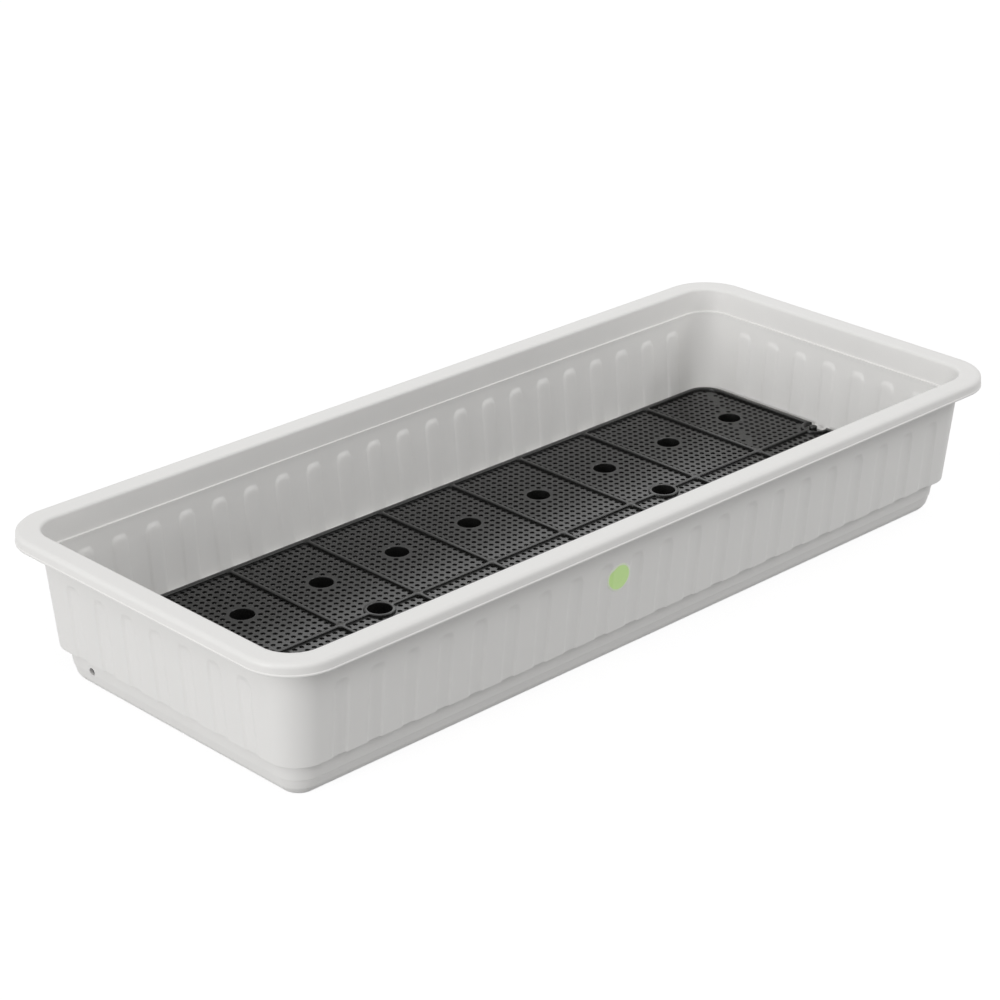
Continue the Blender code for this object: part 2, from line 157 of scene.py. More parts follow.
class LabelSettings(PropertyGroup):
    """Size and colours of the round label."""
    diameter: length("Diameter", "Width of the label", 29.5 * MM)
    side: FloatProperty(name="Side", description="Label's middle along the wall", default=-65 * MM,
                        unit='LENGTH')
    height: length("Height", "Height of the label's middle", 97 * MM)
    border: length("Border", "Width of the paler ring round the edge", 1.9 * MM)
    field_colour: colour("Field", "Colour of the label's field", "#d6fda6")
    border_colour: colour("Border", "Colour of the ring round the edge", "#f0f7e4")


class StageSettings(PropertyGroup):
    """Camera, lamps and backdrop."""
    focal_length: FloatProperty(name="Focal length", description="Lens in mm on a 36 mm sensor",
                                default=102.4516)
    azimuth: FloatProperty(name="Azimuth", description="Camera's turn round the tray in degrees",
                           default=-44.222)
    elevation: FloatProperty(name="Elevation", description="Camera's height over the horizon in degrees",
                             default=24.267)
    distance: length("Distance", "From the camera to the tray's middle", 2887.678 * MM)
    ambient: FloatProperty(name="Ambient", description="Strength of the room's even light", default=0.57,
                           min=0.0)
    key: lamp_power("Key", "on the left", 474.0)
    fill: lamp_power("Fill", "in front on the right", 221.0)
    kicker: lamp_power("Kicker", "in front on the left", 99.0)
    back: lamp_power("Back", "behind on the right", 60.0)


def add(tree, kind, sockets=(), **options):
    """Add a node to a tree. Options are its settings. Sockets are its inputs' values, or the outputs or
    nodes that they come from, or a list of these for an input that takes several, in order or by name."""
    made = tree.nodes.new(kind)
    made.location = (200 * (len(tree.nodes) % 8), -240 * (len(tree.nodes) // 8))
    for name, value in options.items():
        setattr(made, name, value)
    for name, value in sockets.items() if isinstance(sockets, dict) else enumerate(sockets):
        for source in value if isinstance(value, list) else [value]:
            if isinstance(source, bpy.types.Node):
                source = source.outputs[0]
            if isinstance(source, bpy.types.NodeSocket):
                tree.links.new(source, made.inputs[name])
            else:
                made.inputs[name].default_value = source
    return made


# Materials

POLYPROPYLENE_IOR = 1.49
CLOUD_RANGE = {"From Min": 0.3, "From Max": 0.7}
GLOSS_CHANGE = 0.03
GRAIN_DEPTH = 0.02 * MM
FILM_IOR = 1.5
FILM_ROUGHNESS = 0.34
FILM_GRAIN = 2.5 * MM
FILM_TONE = 1.08              # how much lighter the film's field is in spots
BORDER_BLUR = 0.25 * MM       # half of the step from the field to the ring round it


def new_material(name, base, roughness, ior):
    """An empty Principled material, with its node tree, its shader and its object coordinates."""
    made = bpy.data.materials.new(name)
    made.use_nodes = True
    tree = made.node_tree
    shader = tree.nodes["Principled BSDF"]
    shader.inputs["Base Color"].default_value = base
    shader.inputs["Roughness"].default_value = roughness
    shader.inputs["IOR"].default_value = ior
    return made, tree, shader, add(tree, "ShaderNodeTexCoord").outputs["Object"]


def polypropylene(name, base, roughness, cloud, grain, tone):
    """Injection-moulded polypropylene with clouding, changing gloss and the fine grain of a spark-eroded
    mould, drawn coarser than it is so that it can show. Cloud and grain are sizes in metres, and tone is how
    much the clouds change the colour."""
    made, tree, shader, place = new_material(name, base, roughness, POLYPROPYLENE_IOR)
    clouds = add(tree, "ShaderNodeTexNoise", {"Vector": place, "Scale": 1 / cloud, "Detail": 3.0,
                                              "Roughness": 0.6})
    specks = add(tree, "ShaderNodeTexNoise", {"Vector": place, "Scale": 1 / grain, "Detail": 2.0})
    darker = tuple(c * (1 - tone) for c in base[:3]) + (1.0,)
    lighter = tuple(min(1.0, c * (1 + tone)) for c in base[:3]) + (1.0,)
    ramp = add(tree, "ShaderNodeMapRange", {"Value": clouds.outputs["Fac"], **CLOUD_RANGE})
    mixed = add(tree, "ShaderNodeMix", {0: ramp.outputs["Result"], 6: darker, 7: lighter}, data_type='RGBA')
    tree.links.new(mixed.outputs[2], shader.inputs["Base Color"])
    gloss = add(tree, "ShaderNodeMapRange", {"Value": clouds.outputs["Fac"], **CLOUD_RANGE,
                                             "To Min": roughness - GLOSS_CHANGE,
                                             "To Max": roughness + GLOSS_CHANGE})
    tree.links.new(gloss.outputs["Result"], shader.inputs["Roughness"])
    bump = add(tree, "ShaderNodeBump", {"Height": specks.outputs["Fac"], "Distance": GRAIN_DEPTH,
                                        "Strength": 1.0})
    tree.links.new(bump.outputs["Normal"], shader.inputs["Normal"])
    return made


def light_polypropylene(base, roughness):
    """An even, matt light grey with a soft sheen, its clouds and grain too faint to see from a step away."""
    return polypropylene("light_grey_polypropylene", base, roughness, 70 * MM, 1.1 * MM, 0.012)


def black_polypropylene(base, roughness):
    """Black, with nearly no colour of its own, so the eye sees its satin sheen."""
    return polypropylene("black_polypropylene", base, roughness, 45 * MM, 0.9 * MM, 0.12)


def printed_film(sizes, centre, outwards):
    """Printed vinyl film, bare: a pale green field with a paler ring, smooth and slightly glossy."""
    made, tree, shader, place = new_material("pale_green_film", sizes.field_colour, FILM_ROUGHNESS,
                                             FILM_IOR)
    offset = add(tree, VECTOR, {0: place, 1: centre}, operation='SUBTRACT')
    across = add(tree, VECTOR, {0: offset, 1: outwards}, operation='DOT_PRODUCT').outputs["Value"]
    depth = add(tree, VECTOR, {0: outwards, 3: across}, operation='SCALE')
    flat = add(tree, VECTOR, {0: offset, 1: depth}, operation='SUBTRACT')
    radius = add(tree, VECTOR, {0: flat}, operation='LENGTH').outputs["Value"]
    edge = sizes.diameter / 2 - sizes.border
    ring = add(tree, "ShaderNodeMapRange", {"Value": radius, "From Min": edge - BORDER_BLUR,
                                            "From Max": edge + BORDER_BLUR}, interpolation_type='SMOOTHSTEP')
    grain = add(tree, "ShaderNodeTexNoise", {"Vector": place, "Scale": 1 / FILM_GRAIN, "Detail": 2.0})
    pale = tuple(min(1.0, c * FILM_TONE) for c in sizes.field_colour[:3]) + (1.0,)
    field = add(tree, "ShaderNodeMix", {0: grain.outputs["Fac"], 6: tuple(sizes.field_colour), 7: pale},
                data_type='RGBA')
    mixed = add(tree, "ShaderNodeMix", {0: ring.outputs["Result"], 6: field.outputs[2],
                                        7: tuple(sizes.border_colour)}, data_type='RGBA')
    tree.links.new(mixed.outputs[2], shader.inputs["Base Color"])
    return made


# Meshes

SHARP = 40.0                  # degrees; a sharper edge is shaded as a real edge


def mesh_object(name, verts, faces, attributes=(), edges=()):
    """A mesh object at the origin. Attributes are name, type and values on the points."""
    mesh = bpy.data.meshes.new(name)
    mesh.from_pydata(verts, edges, faces)
    for label, kind, values in attributes:
        made = mesh.attributes.new(label, kind, 'POINT')
        key = "vector" if kind == 'FLOAT_VECTOR' else "value"
        flat = [c for value in values for c in value] if kind == 'FLOAT_VECTOR' else list(values)
        made.data.foreach_set(key, flat)
    made = bpy.data.objects.new(name, mesh)
    bpy.context.scene.collection.objects.link(made)
    return made


def settle(piece, sharp=SHARP):
    """Apply the piece's modifiers, weld it, turn its faces outwards and shade it smooth but for edges that
    are sharper than an angle in degrees."""
    bpy.context.view_layer.update()
    shaped = bpy.data.meshes.new_from_object(piece.evaluated_get(bpy.context.evaluated_depsgraph_get()))
    piece.modifiers.clear()
    piece.data = shaped
    bm = bmesh.new()
    bm.from_mesh(shaped)
    bmesh.ops.remove_doubles(bm, verts=bm.verts, dist=WELD)
    bmesh.ops.recalc_face_normals(bm, faces=bm.faces)
    bm.to_mesh(shaped)
    bm.free()
    shaped.name = piece.name
    shaped.shade_smooth()
    shaped.set_sharp_from_angle(angle=math.radians(sharp))
    return piece


def run_tree(piece, tree, values):
    """Put a Geometry Nodes tree on a piece, with its inputs set by their sockets' identifiers."""
    step = piece.modifiers.new(tree.name, 'NODES')
    step.node_group = tree
    for item in tree.interface.items_tree:
        if item.item_type == 'SOCKET' and item.in_out == 'INPUT' and item.name in values:
            step[item.identifier] = values[item.name]


def new_tree(name, inputs):
    """A Geometry Nodes tree with geometry in and out, and inputs by name, socket type and description."""
    tree = bpy.data.node_groups.new(name, 'GeometryNodeTree')
    tree.is_modifier = True
    tree.interface.new_socket("Geometry", in_out='INPUT', socket_type='NodeSocketGeometry')
    tree.interface.new_socket("Geometry", in_out='OUTPUT', socket_type='NodeSocketGeometry')
    for label, kind, description in inputs:
        socket = tree.interface.new_socket(label, in_out='INPUT', socket_type=kind)
        socket.description = description
    return tree, tree.nodes.new("NodeGroupInput").outputs


def finish_tree(tree, geometry, material):
    """End a tree in plain geometry that carries its material."""
    real = add(tree, "GeometryNodeRealizeInstances", (geometry,))
    dressed = add(tree, "GeometryNodeSetMaterial", {"Geometry": real, "Material": material})
    add(tree, "NodeGroupOutput", (dressed,))


def sides(rows, count, first=0):
    """Faces that join rows of points, each with as many as count and closed on itself."""
    return [(a + i, a + (i + 1) % count, a + count + (i + 1) % count, a + count + i)
            for a in range(first, first + (rows - 1) * count, count) for i in range(count)]


def capped(rows, count):
    """Faces that join rows of points and close both ends."""
    return sides(rows, count) + [tuple(range(count)), tuple(range((rows - 1) * count, rows * count))]


def circle(radius, steps=ROUND_STEPS):
    """Points round a circle, counter-clockwise from +X."""
    return [(radius * math.cos(2 * math.pi * i / steps), radius * math.sin(2 * math.pi * i / steps))
            for i in range(steps)]


def lathe(profile, centre=(0, 0), steps=ROUND_STEPS):
    """Turn radius and height points about an upright axis, and cap both ends."""
    verts = [(centre[0] + x, centre[1] + y, z) for radius, z in profile for x, y in circle(radius, steps)]
    return verts, capped(len(profile), steps)


def scaled(shape):
    """A shape that is written in mm, in metres."""
    verts, faces = shape
    return [tuple(c * MM for c in v) for v in verts], faces


def dress(piece, material):
    """Give a piece this one material."""
    piece.data.materials.clear()
    piece.data.materials.append(material)


# The trough

# Sizes in mm
STEP = 37.0                   # height of the plinth's top
LEDGE = 40.0                  # height of the ledge that the grate lies on
FLOOR = 3.0
WALL = 3.0
RIM_SKIN = 2.5
LIP_DROP = 12.5               # height of the lip round the rim
WALL_TOP_INSET = 21.5
WALL_DRAFT = 0.082            # how far the wall leans out for each mm of height
WALL_CORNER = 32.0
WALL_CORNER_GROWTH = 4.0      # how much larger the wall's corners are under the rim
PLINTH_CENTRE = 67.2          # inset of the plinth's corners' common centre
BOW_PEAK = 105.0              # height where the long walls belly out most
BOW_REACH = 415.0             # half of the length that bellies out
STEP_BOW = 0.5                # the belly at the plinth's top, as a share of the largest
STEP_FILLET = 0.8             # rounding where the wall meets the plinth's top
RIM_FILLET = 2.4              # rounding where the wall meets the rim's underside
LIP_INSIDE = 3.2              # inset of the lip's inner side, under the rim
LIP_FILLET = 1.0
RIM_EDGE_INSET = 0.65
RIM_EDGE_FILLET = 4.2
MOUTH_DROP = 27.0             # from the rim's top down to the upper ledge
MOUTH_FILLET = 3.0            # rounding of the rim's inner edge
MOUTH_INSET = 23.8            # of the mouth's edge at the rim's top
MOUTH_FOOT_INSET = 25.4       # of the mouth's foot, at the upper ledge
MOUTH_BOW = 0.6               # the belly at the mouth's foot, as a share of the wall's there
UPPER_LEDGE_PROUD = 0.5       # how far the upper ledge stands in from the wall's slope
UPPER_LEDGE_FILLET = 0.5
UPPER_LEDGE_GAP = 2.0         # from the upper ledge down to where the wall's rows begin
LEDGE_FILLET = 0.3
# The plinth's section as inset, height and rounding: outside from under the floor up, inside from the
# ledge down
PLINTH_OUTSIDE = ((60.0, 0.0, 0.0), (51.4, 0.0, 1.2), (48.2, 3.0, 1.0), (44.6, 8.0, 4.0), (42.1, 17.5, 0.25),
                  (41.5, 18.0, 0.3), (38.7, STEP, 1.2))
PLINTH_INSIDE = ((38.7, LEDGE, 0.8), (41.5, 17.8, 1.0), (44.4, 8.0, 3.0), (49.6, FLOOR, 1.5),
                 (63.8, FLOOR, 0.0))
# The lip's section as inset, height over its lower edge and rounding: its edge, the bead round it, its face
LIP = ((2.3, 0.0, 0.6), (0.0, 0.0, 0.9), (0.0, 1.8, 0.4), (0.55, 2.35, 0.4))
# Places of the mesh's columns across a flute, of its rows round a flute's upper end, and of those above
FLUTE_STATIONS = (-10.9, -9.5, -8.7, -7.5, -5.2, 0.0, 5.2, 7.5, 8.7, 9.5, 10.9)
DOME_RISES = (-3.0, 0.0, 2.4, 4.6, 6.4, 8.0, 9.2, 10.4, 12.0, 15.0)
UPPER_ROWS = (126.0, 142.0)
FLUTE_STEEPNESS = 3.0         # 1 makes a flute round across, more makes it flat with steep sides
FLUTE_SOFTNESS = 0.12         # rounding of a flute's edge, as a share of its depth
SUPPORT = 0.9                 # from a fillet to the row that keeps the face beside it flat
FILLET_SHARE = 0.45           # most that a fillet takes of the face beside it
FILLET_STEPS = 3
CORNER_STEPS = 14
LAND = 1.0                    # least flat wall between a side's last column and its corner
INSIDE_FROM = 1.001           # a point with a flute mark over this is inside
# What is written on the skin's points: the place along the side, the direction inwards, 1 where a flute is
# outside or 2 where it is inside, and how many pitches the last flute is from the side's middle
MARKS = (("along", 'FLOAT'), ("inward", 'FLOAT_VECTOR'), ("flute", 'FLOAT'), ("reach", 'FLOAT'))


def wall_inset(z, rim_z):
    """How far the wall's outside stands in from the rim's edge, at a height in mm."""
    return WALL_TOP_INSET + WALL_DRAFT * (rim_z - z)


def wall_bow(z, rim_z, peak):
    """How far the long walls stand out halfway along, at a height in mm."""
    if z <= BOW_PEAK:
        return peak * (STEP_BOW + (1 - STEP_BOW) * (z - STEP) / (BOW_PEAK - STEP))
    return peak * (1 - ((z - BOW_PEAK) / (rim_z - BOW_PEAK)) ** 2)


def flute_press(sizes, x, z):
    """How deep the front wall's flutes are at a place on it, all in mm, as their tree presses them."""
    pitch = sizes.flute_pitch / MM
    half = sizes.flute_width / MM / 2
    halfway = (flute_count(sizes, sizes.rim_length) - 1) / 2 % 1
    across = (x - (round(x / pitch - halfway) + halfway) * pitch) / half
    rise = max(0.0, z - (sizes.flute_top / MM - half)) / half
    arch = 1 - (across ** 2 + rise ** 2) ** FLUTE_STEEPNESS
    blend = max(FLUTE_SOFTNESS - abs(arch), 0.0) / FLUTE_SOFTNESS
    return (max(arch, 0.0) + blend ** 3 * FLUTE_SOFTNESS / 6) * sizes.flute_depth / MM


def trough_profile(sizes):
    """Rows of the trough's skin, from under the floor, up outside, over the rim and down inside, in mm:
    inset, height, corner radius, bow, flute (1 outside, 2 inside) and the radius that rounds the row."""
    high = sizes.height / MM
    rim_z = high - RIM_SKIN
    lip_z = high - LIP_DROP
    mouth_z = high - MOUTH_DROP
    rim_corner = sizes.rim_corner / MM
    top_corner = WALL_CORNER + WALL_CORNER_GROWTH
    peak = sizes.bow / MM
    dome = sizes.flute_top / MM - sizes.flute_width / MM / 2

    def plain(inset, z, radius, fillet=0.0):
        return (inset, z, radius, 0.0, 0, fillet)

    def wall(z, thick, flute, fillet=0.0):
        corner = WALL_CORNER + WALL_CORNER_GROWTH * (z - STEP) / (rim_z - STEP)
        return (wall_inset(z, rim_z) + thick, z, corner - thick, wall_bow(z, rim_z, peak), flute, fillet)

    def rim(inset, z, fillet=0.0):
        return plain(inset, z, rim_corner - inset, fillet)

    def plinth(inset, z, fillet, thick=0.0):
        return plain(inset + thick, z, PLINTH_CENTRE - inset - thick, fillet)

    heights = [dome + rise for rise in DOME_RISES] + [*UPPER_ROWS]
    outside = [plinth(*row) for row in PLINTH_OUTSIDE] + [wall(STEP, 0, 1, STEP_FILLET)]
    outside += [wall(z, 0, 1) for z in heights]
    outside += [plain(WALL_TOP_INSET, rim_z, top_corner, RIM_FILLET), rim(LIP_INSIDE, rim_z, LIP_FILLET)]
    outside += [rim(inset, lip_z + rise, fillet) for inset, rise, fillet in LIP]
    outside += [rim(RIM_EDGE_INSET, high, RIM_EDGE_FILLET)]
    mouth_bow = MOUTH_BOW * wall_bow(mouth_z, rim_z, peak)
    inside = [plain(MOUTH_INSET, high, top_corner - WALL, MOUTH_FILLET),
              (MOUTH_FOOT_INSET, mouth_z, top_corner - WALL, mouth_bow, 0, UPPER_LEDGE_FILLET),
              wall(mouth_z, WALL + UPPER_LEDGE_PROUD, 2, UPPER_LEDGE_FILLET)]
    inside += [wall(z, WALL, 2) for z in reversed(heights) if z < mouth_z - UPPER_LEDGE_GAP]
    inside += [wall(LEDGE, WALL, 2, LEDGE_FILLET)] + [plinth(*row, WALL) for row in PLINTH_INSIDE]
    return rounded(outside + inside)


def rounded(rows):
    """Round the rows that have a fillet radius, and add a row on each side that keeps the next face flat."""
    made = [rows[0][:5]]
    for before, row, after in zip(rows, rows[1:], rows[2:]):
        fillet = row[5]
        if not fillet:
            made.append(row[:5])
            continue
        reach_before = math.dist(before[:2], row[:2])
        reach_after = math.dist(row[:2], after[:2])
        product = sum((b - c) * (a - c) for b, c, a in zip(before[:2], row[:2], after[:2]))
        turn = math.acos(max(-1.0, min(1.0, product / (reach_before * reach_after))))
        tangent = min(fillet / math.tan(turn / 2), FILLET_SHARE * reach_before, FILLET_SHARE * reach_after)

        def towards(other, reach, gap):
            return tuple(c + (o - c) * gap / reach for c, o in zip(row[:5], other[:5]))

        start, end = towards(before, reach_before, tangent), towards(after, reach_after, tangent)
        if reach_before > 2 * (tangent + SUPPORT):
            made.append(towards(before, reach_before, tangent + SUPPORT))
        for i in range(FILLET_STEPS + 1):
            t = i / FILLET_STEPS
            made.append(tuple((1 - t) ** 2 * s + 2 * t * (1 - t) * c + t * t * e
                              for s, c, e in zip(start, row[:5], end)))
        if reach_after > 2 * (tangent + SUPPORT):
            made.append(towards(after, reach_after, tangent + SUPPORT))
    return made + [rows[-1][:5]]


def flute_count(sizes, side):
    """How many flutes fit between the corners of a wall, under a rim that is as long as side."""
    foot = wall_inset(STEP, sizes.height / MM - RIM_SKIN) + WALL_CORNER
    return int((side / MM - 2 * foot) // (sizes.flute_pitch / MM))


def side_stations(count, pitch):
    """Places along a side, from its middle: close together over each flute, and none on the lands between."""
    centres = [(i - (count - 1) / 2) * pitch for i in range(count)]
    return [c + s for c in centres for s in FLUTE_STATIONS]


def build_trough_skin(sizes):
    """The trough's plain skin, with what the flutes need to know written on its points."""
    half = (sizes.rim_length / MM / 2, sizes.rim_width / MM / 2)
    counts = [flute_count(sizes, side) for side in (sizes.rim_length, sizes.rim_width)]
    stations = [side_stations(count, sizes.flute_pitch / MM) for count in counts]
    rows = trough_profile(sizes)
    verts, marks = [], {name: [] for name, kind in MARKS}

    def put(point, z, *values):
        verts.append((point.x * MM, point.y * MM, z * MM))
        for kept, value in zip(marks.values(), values):
            kept.append(value)

    for inset, z, corner, bow, flute in rows:
        for side in range(4):
            short = side % 2
            straight = half[short] - inset - corner
            across = half[1 - short] - inset
            turn = side * math.pi / 2
            along = Vector((-math.cos(turn), -math.sin(turn)))
            inward = Vector((math.sin(turn), -math.cos(turn)))
            squeeze = min(1.0, (straight - LAND) / stations[short][-1])
            for place in stations[short]:
                offset = place * squeeze
                belly = 0.0 if short else bow * max(0.0, 1 - (offset / BOW_REACH) ** 2)
                put(along * offset - inward * (across + belly), z,
                    place * MM, (inward.x, inward.y, 0.0), flute, (counts[short] - 1) / 2)
            centre = along * straight - inward * (across - corner)
            for i in range(CORNER_STEPS + 1):
                angle = math.pi / 2 * i / CORNER_STEPS
                put(centre + (along * math.sin(angle) - inward * math.cos(angle)) * corner, z,
                    0.0, (0.0, 0.0, 0.0), 0.0, 0.0)
    return mesh_object("trough_shell", verts, capped(len(rows), len(verts) // len(rows)),
                       [(name, kind, marks[name]) for name, kind in MARKS])


def flute_tree(material):
    """Presses the flutes into the skin: flat in the middle, steep at the sides, with a rounded upper end."""
    tree, given = new_tree("flutes", [
        ("Pitch", NUMBER, "Distance from flute to flute"),
        ("Groove Width", NUMBER, "Width of a groove on the outside"),
        ("Bead Width", NUMBER, "Width of a bead on the inside"),
        ("Depth", NUMBER, "Depth of a flute"),
        ("Top", NUMBER, "Height of the rounded ends"),
        ("Steepness", NUMBER, "1 makes a flute round across, more makes it flat with steep sides"),
        ("Softness", NUMBER, "Rounding of a flute's edge, as a share of its depth")])
    read = {name: add(tree, "GeometryNodeInputNamedAttribute", {"Name": name}, data_type=kind).outputs[0]
            for name, kind in MARKS}
    inside = add(tree, MATH, (read["flute"], INSIDE_FROM), operation='GREATER_THAN')
    weight = add(tree, MATH, (read["flute"], 1.0), operation='MINIMUM')
    wide = add(tree, "ShaderNodeMix", {0: inside, 2: given["Groove Width"], 3: given["Bead Width"]})
    half = add(tree, MATH, (wide, 2.0), operation='DIVIDE')
    halfway = add(tree, MATH, (read["reach"],), operation='FRACT')
    step = add(tree, MATH, (read["along"], given["Pitch"]), operation='DIVIDE')
    nearest = add(tree, MATH, (add(tree, MATH, (step, halfway), operation='SUBTRACT'),), operation='ROUND')
    index = add(tree, MATH, (nearest, halfway), operation='ADD')
    first = add(tree, MATH, (read["reach"], -1.0), operation='MULTIPLY')
    kept = add(tree, "ShaderNodeClamp", (index, first, read["reach"]))
    middle = add(tree, MATH, (kept, given["Pitch"]), operation='MULTIPLY')
    across = add(tree, MATH, (add(tree, MATH, (read["along"], middle), operation='SUBTRACT'), half),
                 operation='DIVIDE')
    height = add(tree, "ShaderNodeSeparateXYZ", (add(tree, "GeometryNodeInputPosition"),)).outputs[2]
    straight_top = add(tree, MATH, (given["Top"], half), operation='SUBTRACT')
    above = add(tree, MATH, (add(tree, MATH, (height, straight_top), operation='SUBTRACT'), 0.0),
                operation='MAXIMUM')
    rise = add(tree, MATH, (above, half), operation='DIVIDE')
    squares = [add(tree, MATH, (part, part), operation='MULTIPLY') for part in (across, rise)]
    distance = add(tree, MATH, squares, operation='ADD')
    steep = add(tree, MATH, (distance, given["Steepness"]), operation='POWER')
    inner = add(tree, MATH, (1.0, steep), operation='SUBTRACT')
    arch = add(tree, MATH, (inner, 0.0, given["Softness"]), operation='SMOOTH_MAX')
    pressed = add(tree, MATH, (add(tree, MATH, (arch, weight), operation='MULTIPLY'), given["Depth"]),
                  operation='MULTIPLY')
    offset = add(tree, VECTOR, {0: read["inward"], 3: pressed}, operation='SCALE')
    moved = add(tree, "GeometryNodeSetPosition", {"Geometry": given["Geometry"], "Offset": offset})
    finish_tree(tree, moved, material)
    return tree


# Sizes in mm: the peg's boss, the drain hole and the shapes that cut them
BOSS_RADIUS = 7.0
BOSS_BORE = 4.8
BOSS_TOP = 23.5
BOSS_BLIND = 17.5             # height of the bore's bottom
DRAIN_BORE = 8.0
DRAIN_SIDE = 124.0
DRAIN_HEIGHT = 21.5
DRAIN_INSET = 45.0            # from the rim's end to the middle of the drain hole's cutter
CUTTER_REACH = 20.0
CUTTER_PROUD = 2.0            # how far the bore's cutter stands out of the boss


def cutter(name, verts, faces):
    """A shape for a Boolean, which is taken away afterwards."""
    made = mesh_object(name, verts, faces)
    settle(made)
    made.hide_render = True
    return made


def trim_to_plinth(boss, half):
    """Cut the boss off along the middle of the plinth's slanted end wall, so that it stays inside."""
    bm = bmesh.new()
    bm.from_mesh(boss.data)
    base, foot, crease = (PLINTH_OUTSIDE[row][:2] for row in (1, 3, 5))
    for (low_inset, low), (high_inset, high) in ((base, foot), (foot, crease)):
        on_plane = Vector(((half - low_inset - WALL / 2) * MM, 0, low * MM))
        outwards = Vector((high - low, 0, high_inset - low_inset)).normalized()
        cut = bmesh.ops.bisect_plane(bm, geom=[*bm.verts, *bm.edges, *bm.faces], plane_co=on_plane,
                                     plane_no=outwards, clear_outer=True)["geom_cut"]
        bmesh.ops.contextual_create(bm, geom=[e for e in cut if isinstance(e, bmesh.types.BMEdge)])
    bmesh.ops.recalc_face_normals(bm, faces=bm.faces)
    bm.to_mesh(boss.data)
    bm.free()


def combine(target, operand, operation):
    """Join a shape to a piece, or cut it out, when the piece's modifiers are applied."""
    step = target.modifiers.new(operand.name, 'BOOLEAN')
    step.operation = operation
    step.solver = 'EXACT'
    step.object = operand


class TRAY_OT_trough(Operator):
    """Build the fluted trough with its rim, plinth, drain hole and peg boss"""
    bl_idname = "tray.build_trough"
    bl_label = "Trough"

    def execute(self, context):
        sizes = context.scene.tray_trough
        skin = light_polypropylene(tuple(sizes.body_colour), sizes.roughness)
        trough = build_trough_skin(sizes)
        run_tree(trough, flute_tree(skin), {
            "Pitch": sizes.flute_pitch, "Groove Width": sizes.flute_width, "Bead Width": sizes.bead_width,
            "Depth": sizes.flute_depth, "Top": sizes.flute_top, "Steepness": FLUTE_STEEPNESS,
            "Softness": FLUTE_SOFTNESS})
        settle(trough)
        place = ((PEG_LOW.x + PEG_HIGH.x) / 2 / MM, 0)
        body = lathe([(BOSS_RADIUS, FLOOR / 2), (BOSS_RADIUS, BOSS_TOP)], place)
        boss = cutter("boss_body", *scaled(body))
        trim_to_plinth(boss, sizes.rim_length / MM / 2)
        hollow = lathe([(BOSS_BORE, BOSS_BLIND), (BOSS_BORE, BOSS_TOP + CUTTER_PROUD)], place)
        bore = cutter("boss_bore", *scaled(hollow))
        verts, faces = scaled(lathe([(DRAIN_BORE / 2, -CUTTER_REACH), (DRAIN_BORE / 2, CUTTER_REACH)]))
        middle = (-sizes.rim_length / 2 + DRAIN_INSET * MM, DRAIN_SIDE * MM, DRAIN_HEIGHT * MM)
        lying = Matrix.Translation(middle) @ Matrix.Rotation(math.pi / 2, 4, 'Y')
        drain = cutter("drain_bore", [lying @ Vector(v) for v in verts], faces)
        combine(trough, boss, 'UNION')
        combine(trough, bore, 'DIFFERENCE')
        combine(trough, drain, 'DIFFERENCE')
        settle(trough)
        for used in (boss, bore, drain):
            bpy.data.objects.remove(used, do_unlink=True)
        dress(trough, skin)
        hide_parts("trough")
        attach(trough, "trough")
        return {'FINISHED'}


# The grate

# Sizes in mm
WELL_FOOT = 17.0              # width of a well's bore at its foot
WELL_WALL = 1.8
RING_WIDTH = 3.7
RINGED_PITCHES = 2            # from the middle to a ringed well, in panel pitches
NOTCH_CENTRE = 453.0
POCKET_CORNER = 4.0
GRATE_CORNER = 26.0
TOP_GAP = 0.2                 # the ribs stay this much below the solid's top
FOOT_EASE = 0.3               # rounding of the outer edge's lower corner
EASE = 0.45                   # rounding of the wells' mouths
EDGE = 0.6                    # rounding of the ribs' upper edges
# Rows of the outer edge and of a panel's edge, as outset, depth below the ribs' top and level
OUTER_EDGE = ((0.0, 1.3, None), (-0.35, 0.4, None), (-1.1, 0.0, "rib_level"))
PANEL_EDGE = ((0.12, EDGE, None), (0.3, 0.2, None), (EDGE, 0.0, "rib_level"))
BAND_HALF = 2.7               # half of the hole-free band across each corner panel
BAND_SLOPE = 1.718
BAND_REACH = 92.0             # from the corner panel's well to either end of its band's middle line
HOLE_STEPS = 8
HOLE_MARGIN = 0.06            # least plastic between a hole and a rib
RING_MARGIN = 0.2             # least plastic between a hole and a ring
WELL_CLEARANCE = 1.95         # from a well's middle to the nearest holes, in hole pitches
NEAR = 0.01                   # points of an outline nearer to a line than this are on it
DISTINCT = 0.02               # points of an outline nearer than this are one
OUTLINE_STEPS = 10            # steps of the grate's corners
NOTCH_STEPS = 12
POCKET_STEPS = 5              # steps of a panel's corners
RING_STEPS = 14
NOTCH_RING_STEPS = 8
GRATE_SHARP = 35.0            # degrees; a sharper edge is shaded as a real edge


def box_outline(low, high, radii, steps):
    """A rectangle's outline with rounded corners, counter-clockwise from +X +Y."""
    signs = ((1, 1), (-1, 1), (-1, -1), (1, -1))
    points = []
    for i, ((sx, sy), radius) in enumerate(zip(signs, radii)):
        cx = (high[0] if sx > 0 else low[0]) - sx * radius
        cy = (high[1] if sy > 0 else low[1]) - sy * radius
        for j in range(steps + 1):
            angle = (i + j / steps) * math.pi / 2
            points.append((cx + radius * math.cos(angle), cy + radius * math.sin(angle)))
    return points


def crossing(inside, outside, centre, radius):
    """Where the line between a point inside a circle and one outside it crosses the circle."""
    dx, dy = outside[0] - inside[0], outside[1] - inside[1]
    fx, fy = inside[0] - centre[0], inside[1] - centre[1]
    a, b, c = dx * dx + dy * dy, fx * dx + fy * dy, fx * fx + fy * fy - radius * radius
    t = (-b + math.sqrt(b * b - a * c)) / a
    return (inside[0] + dx * t, inside[1] + dy * t)


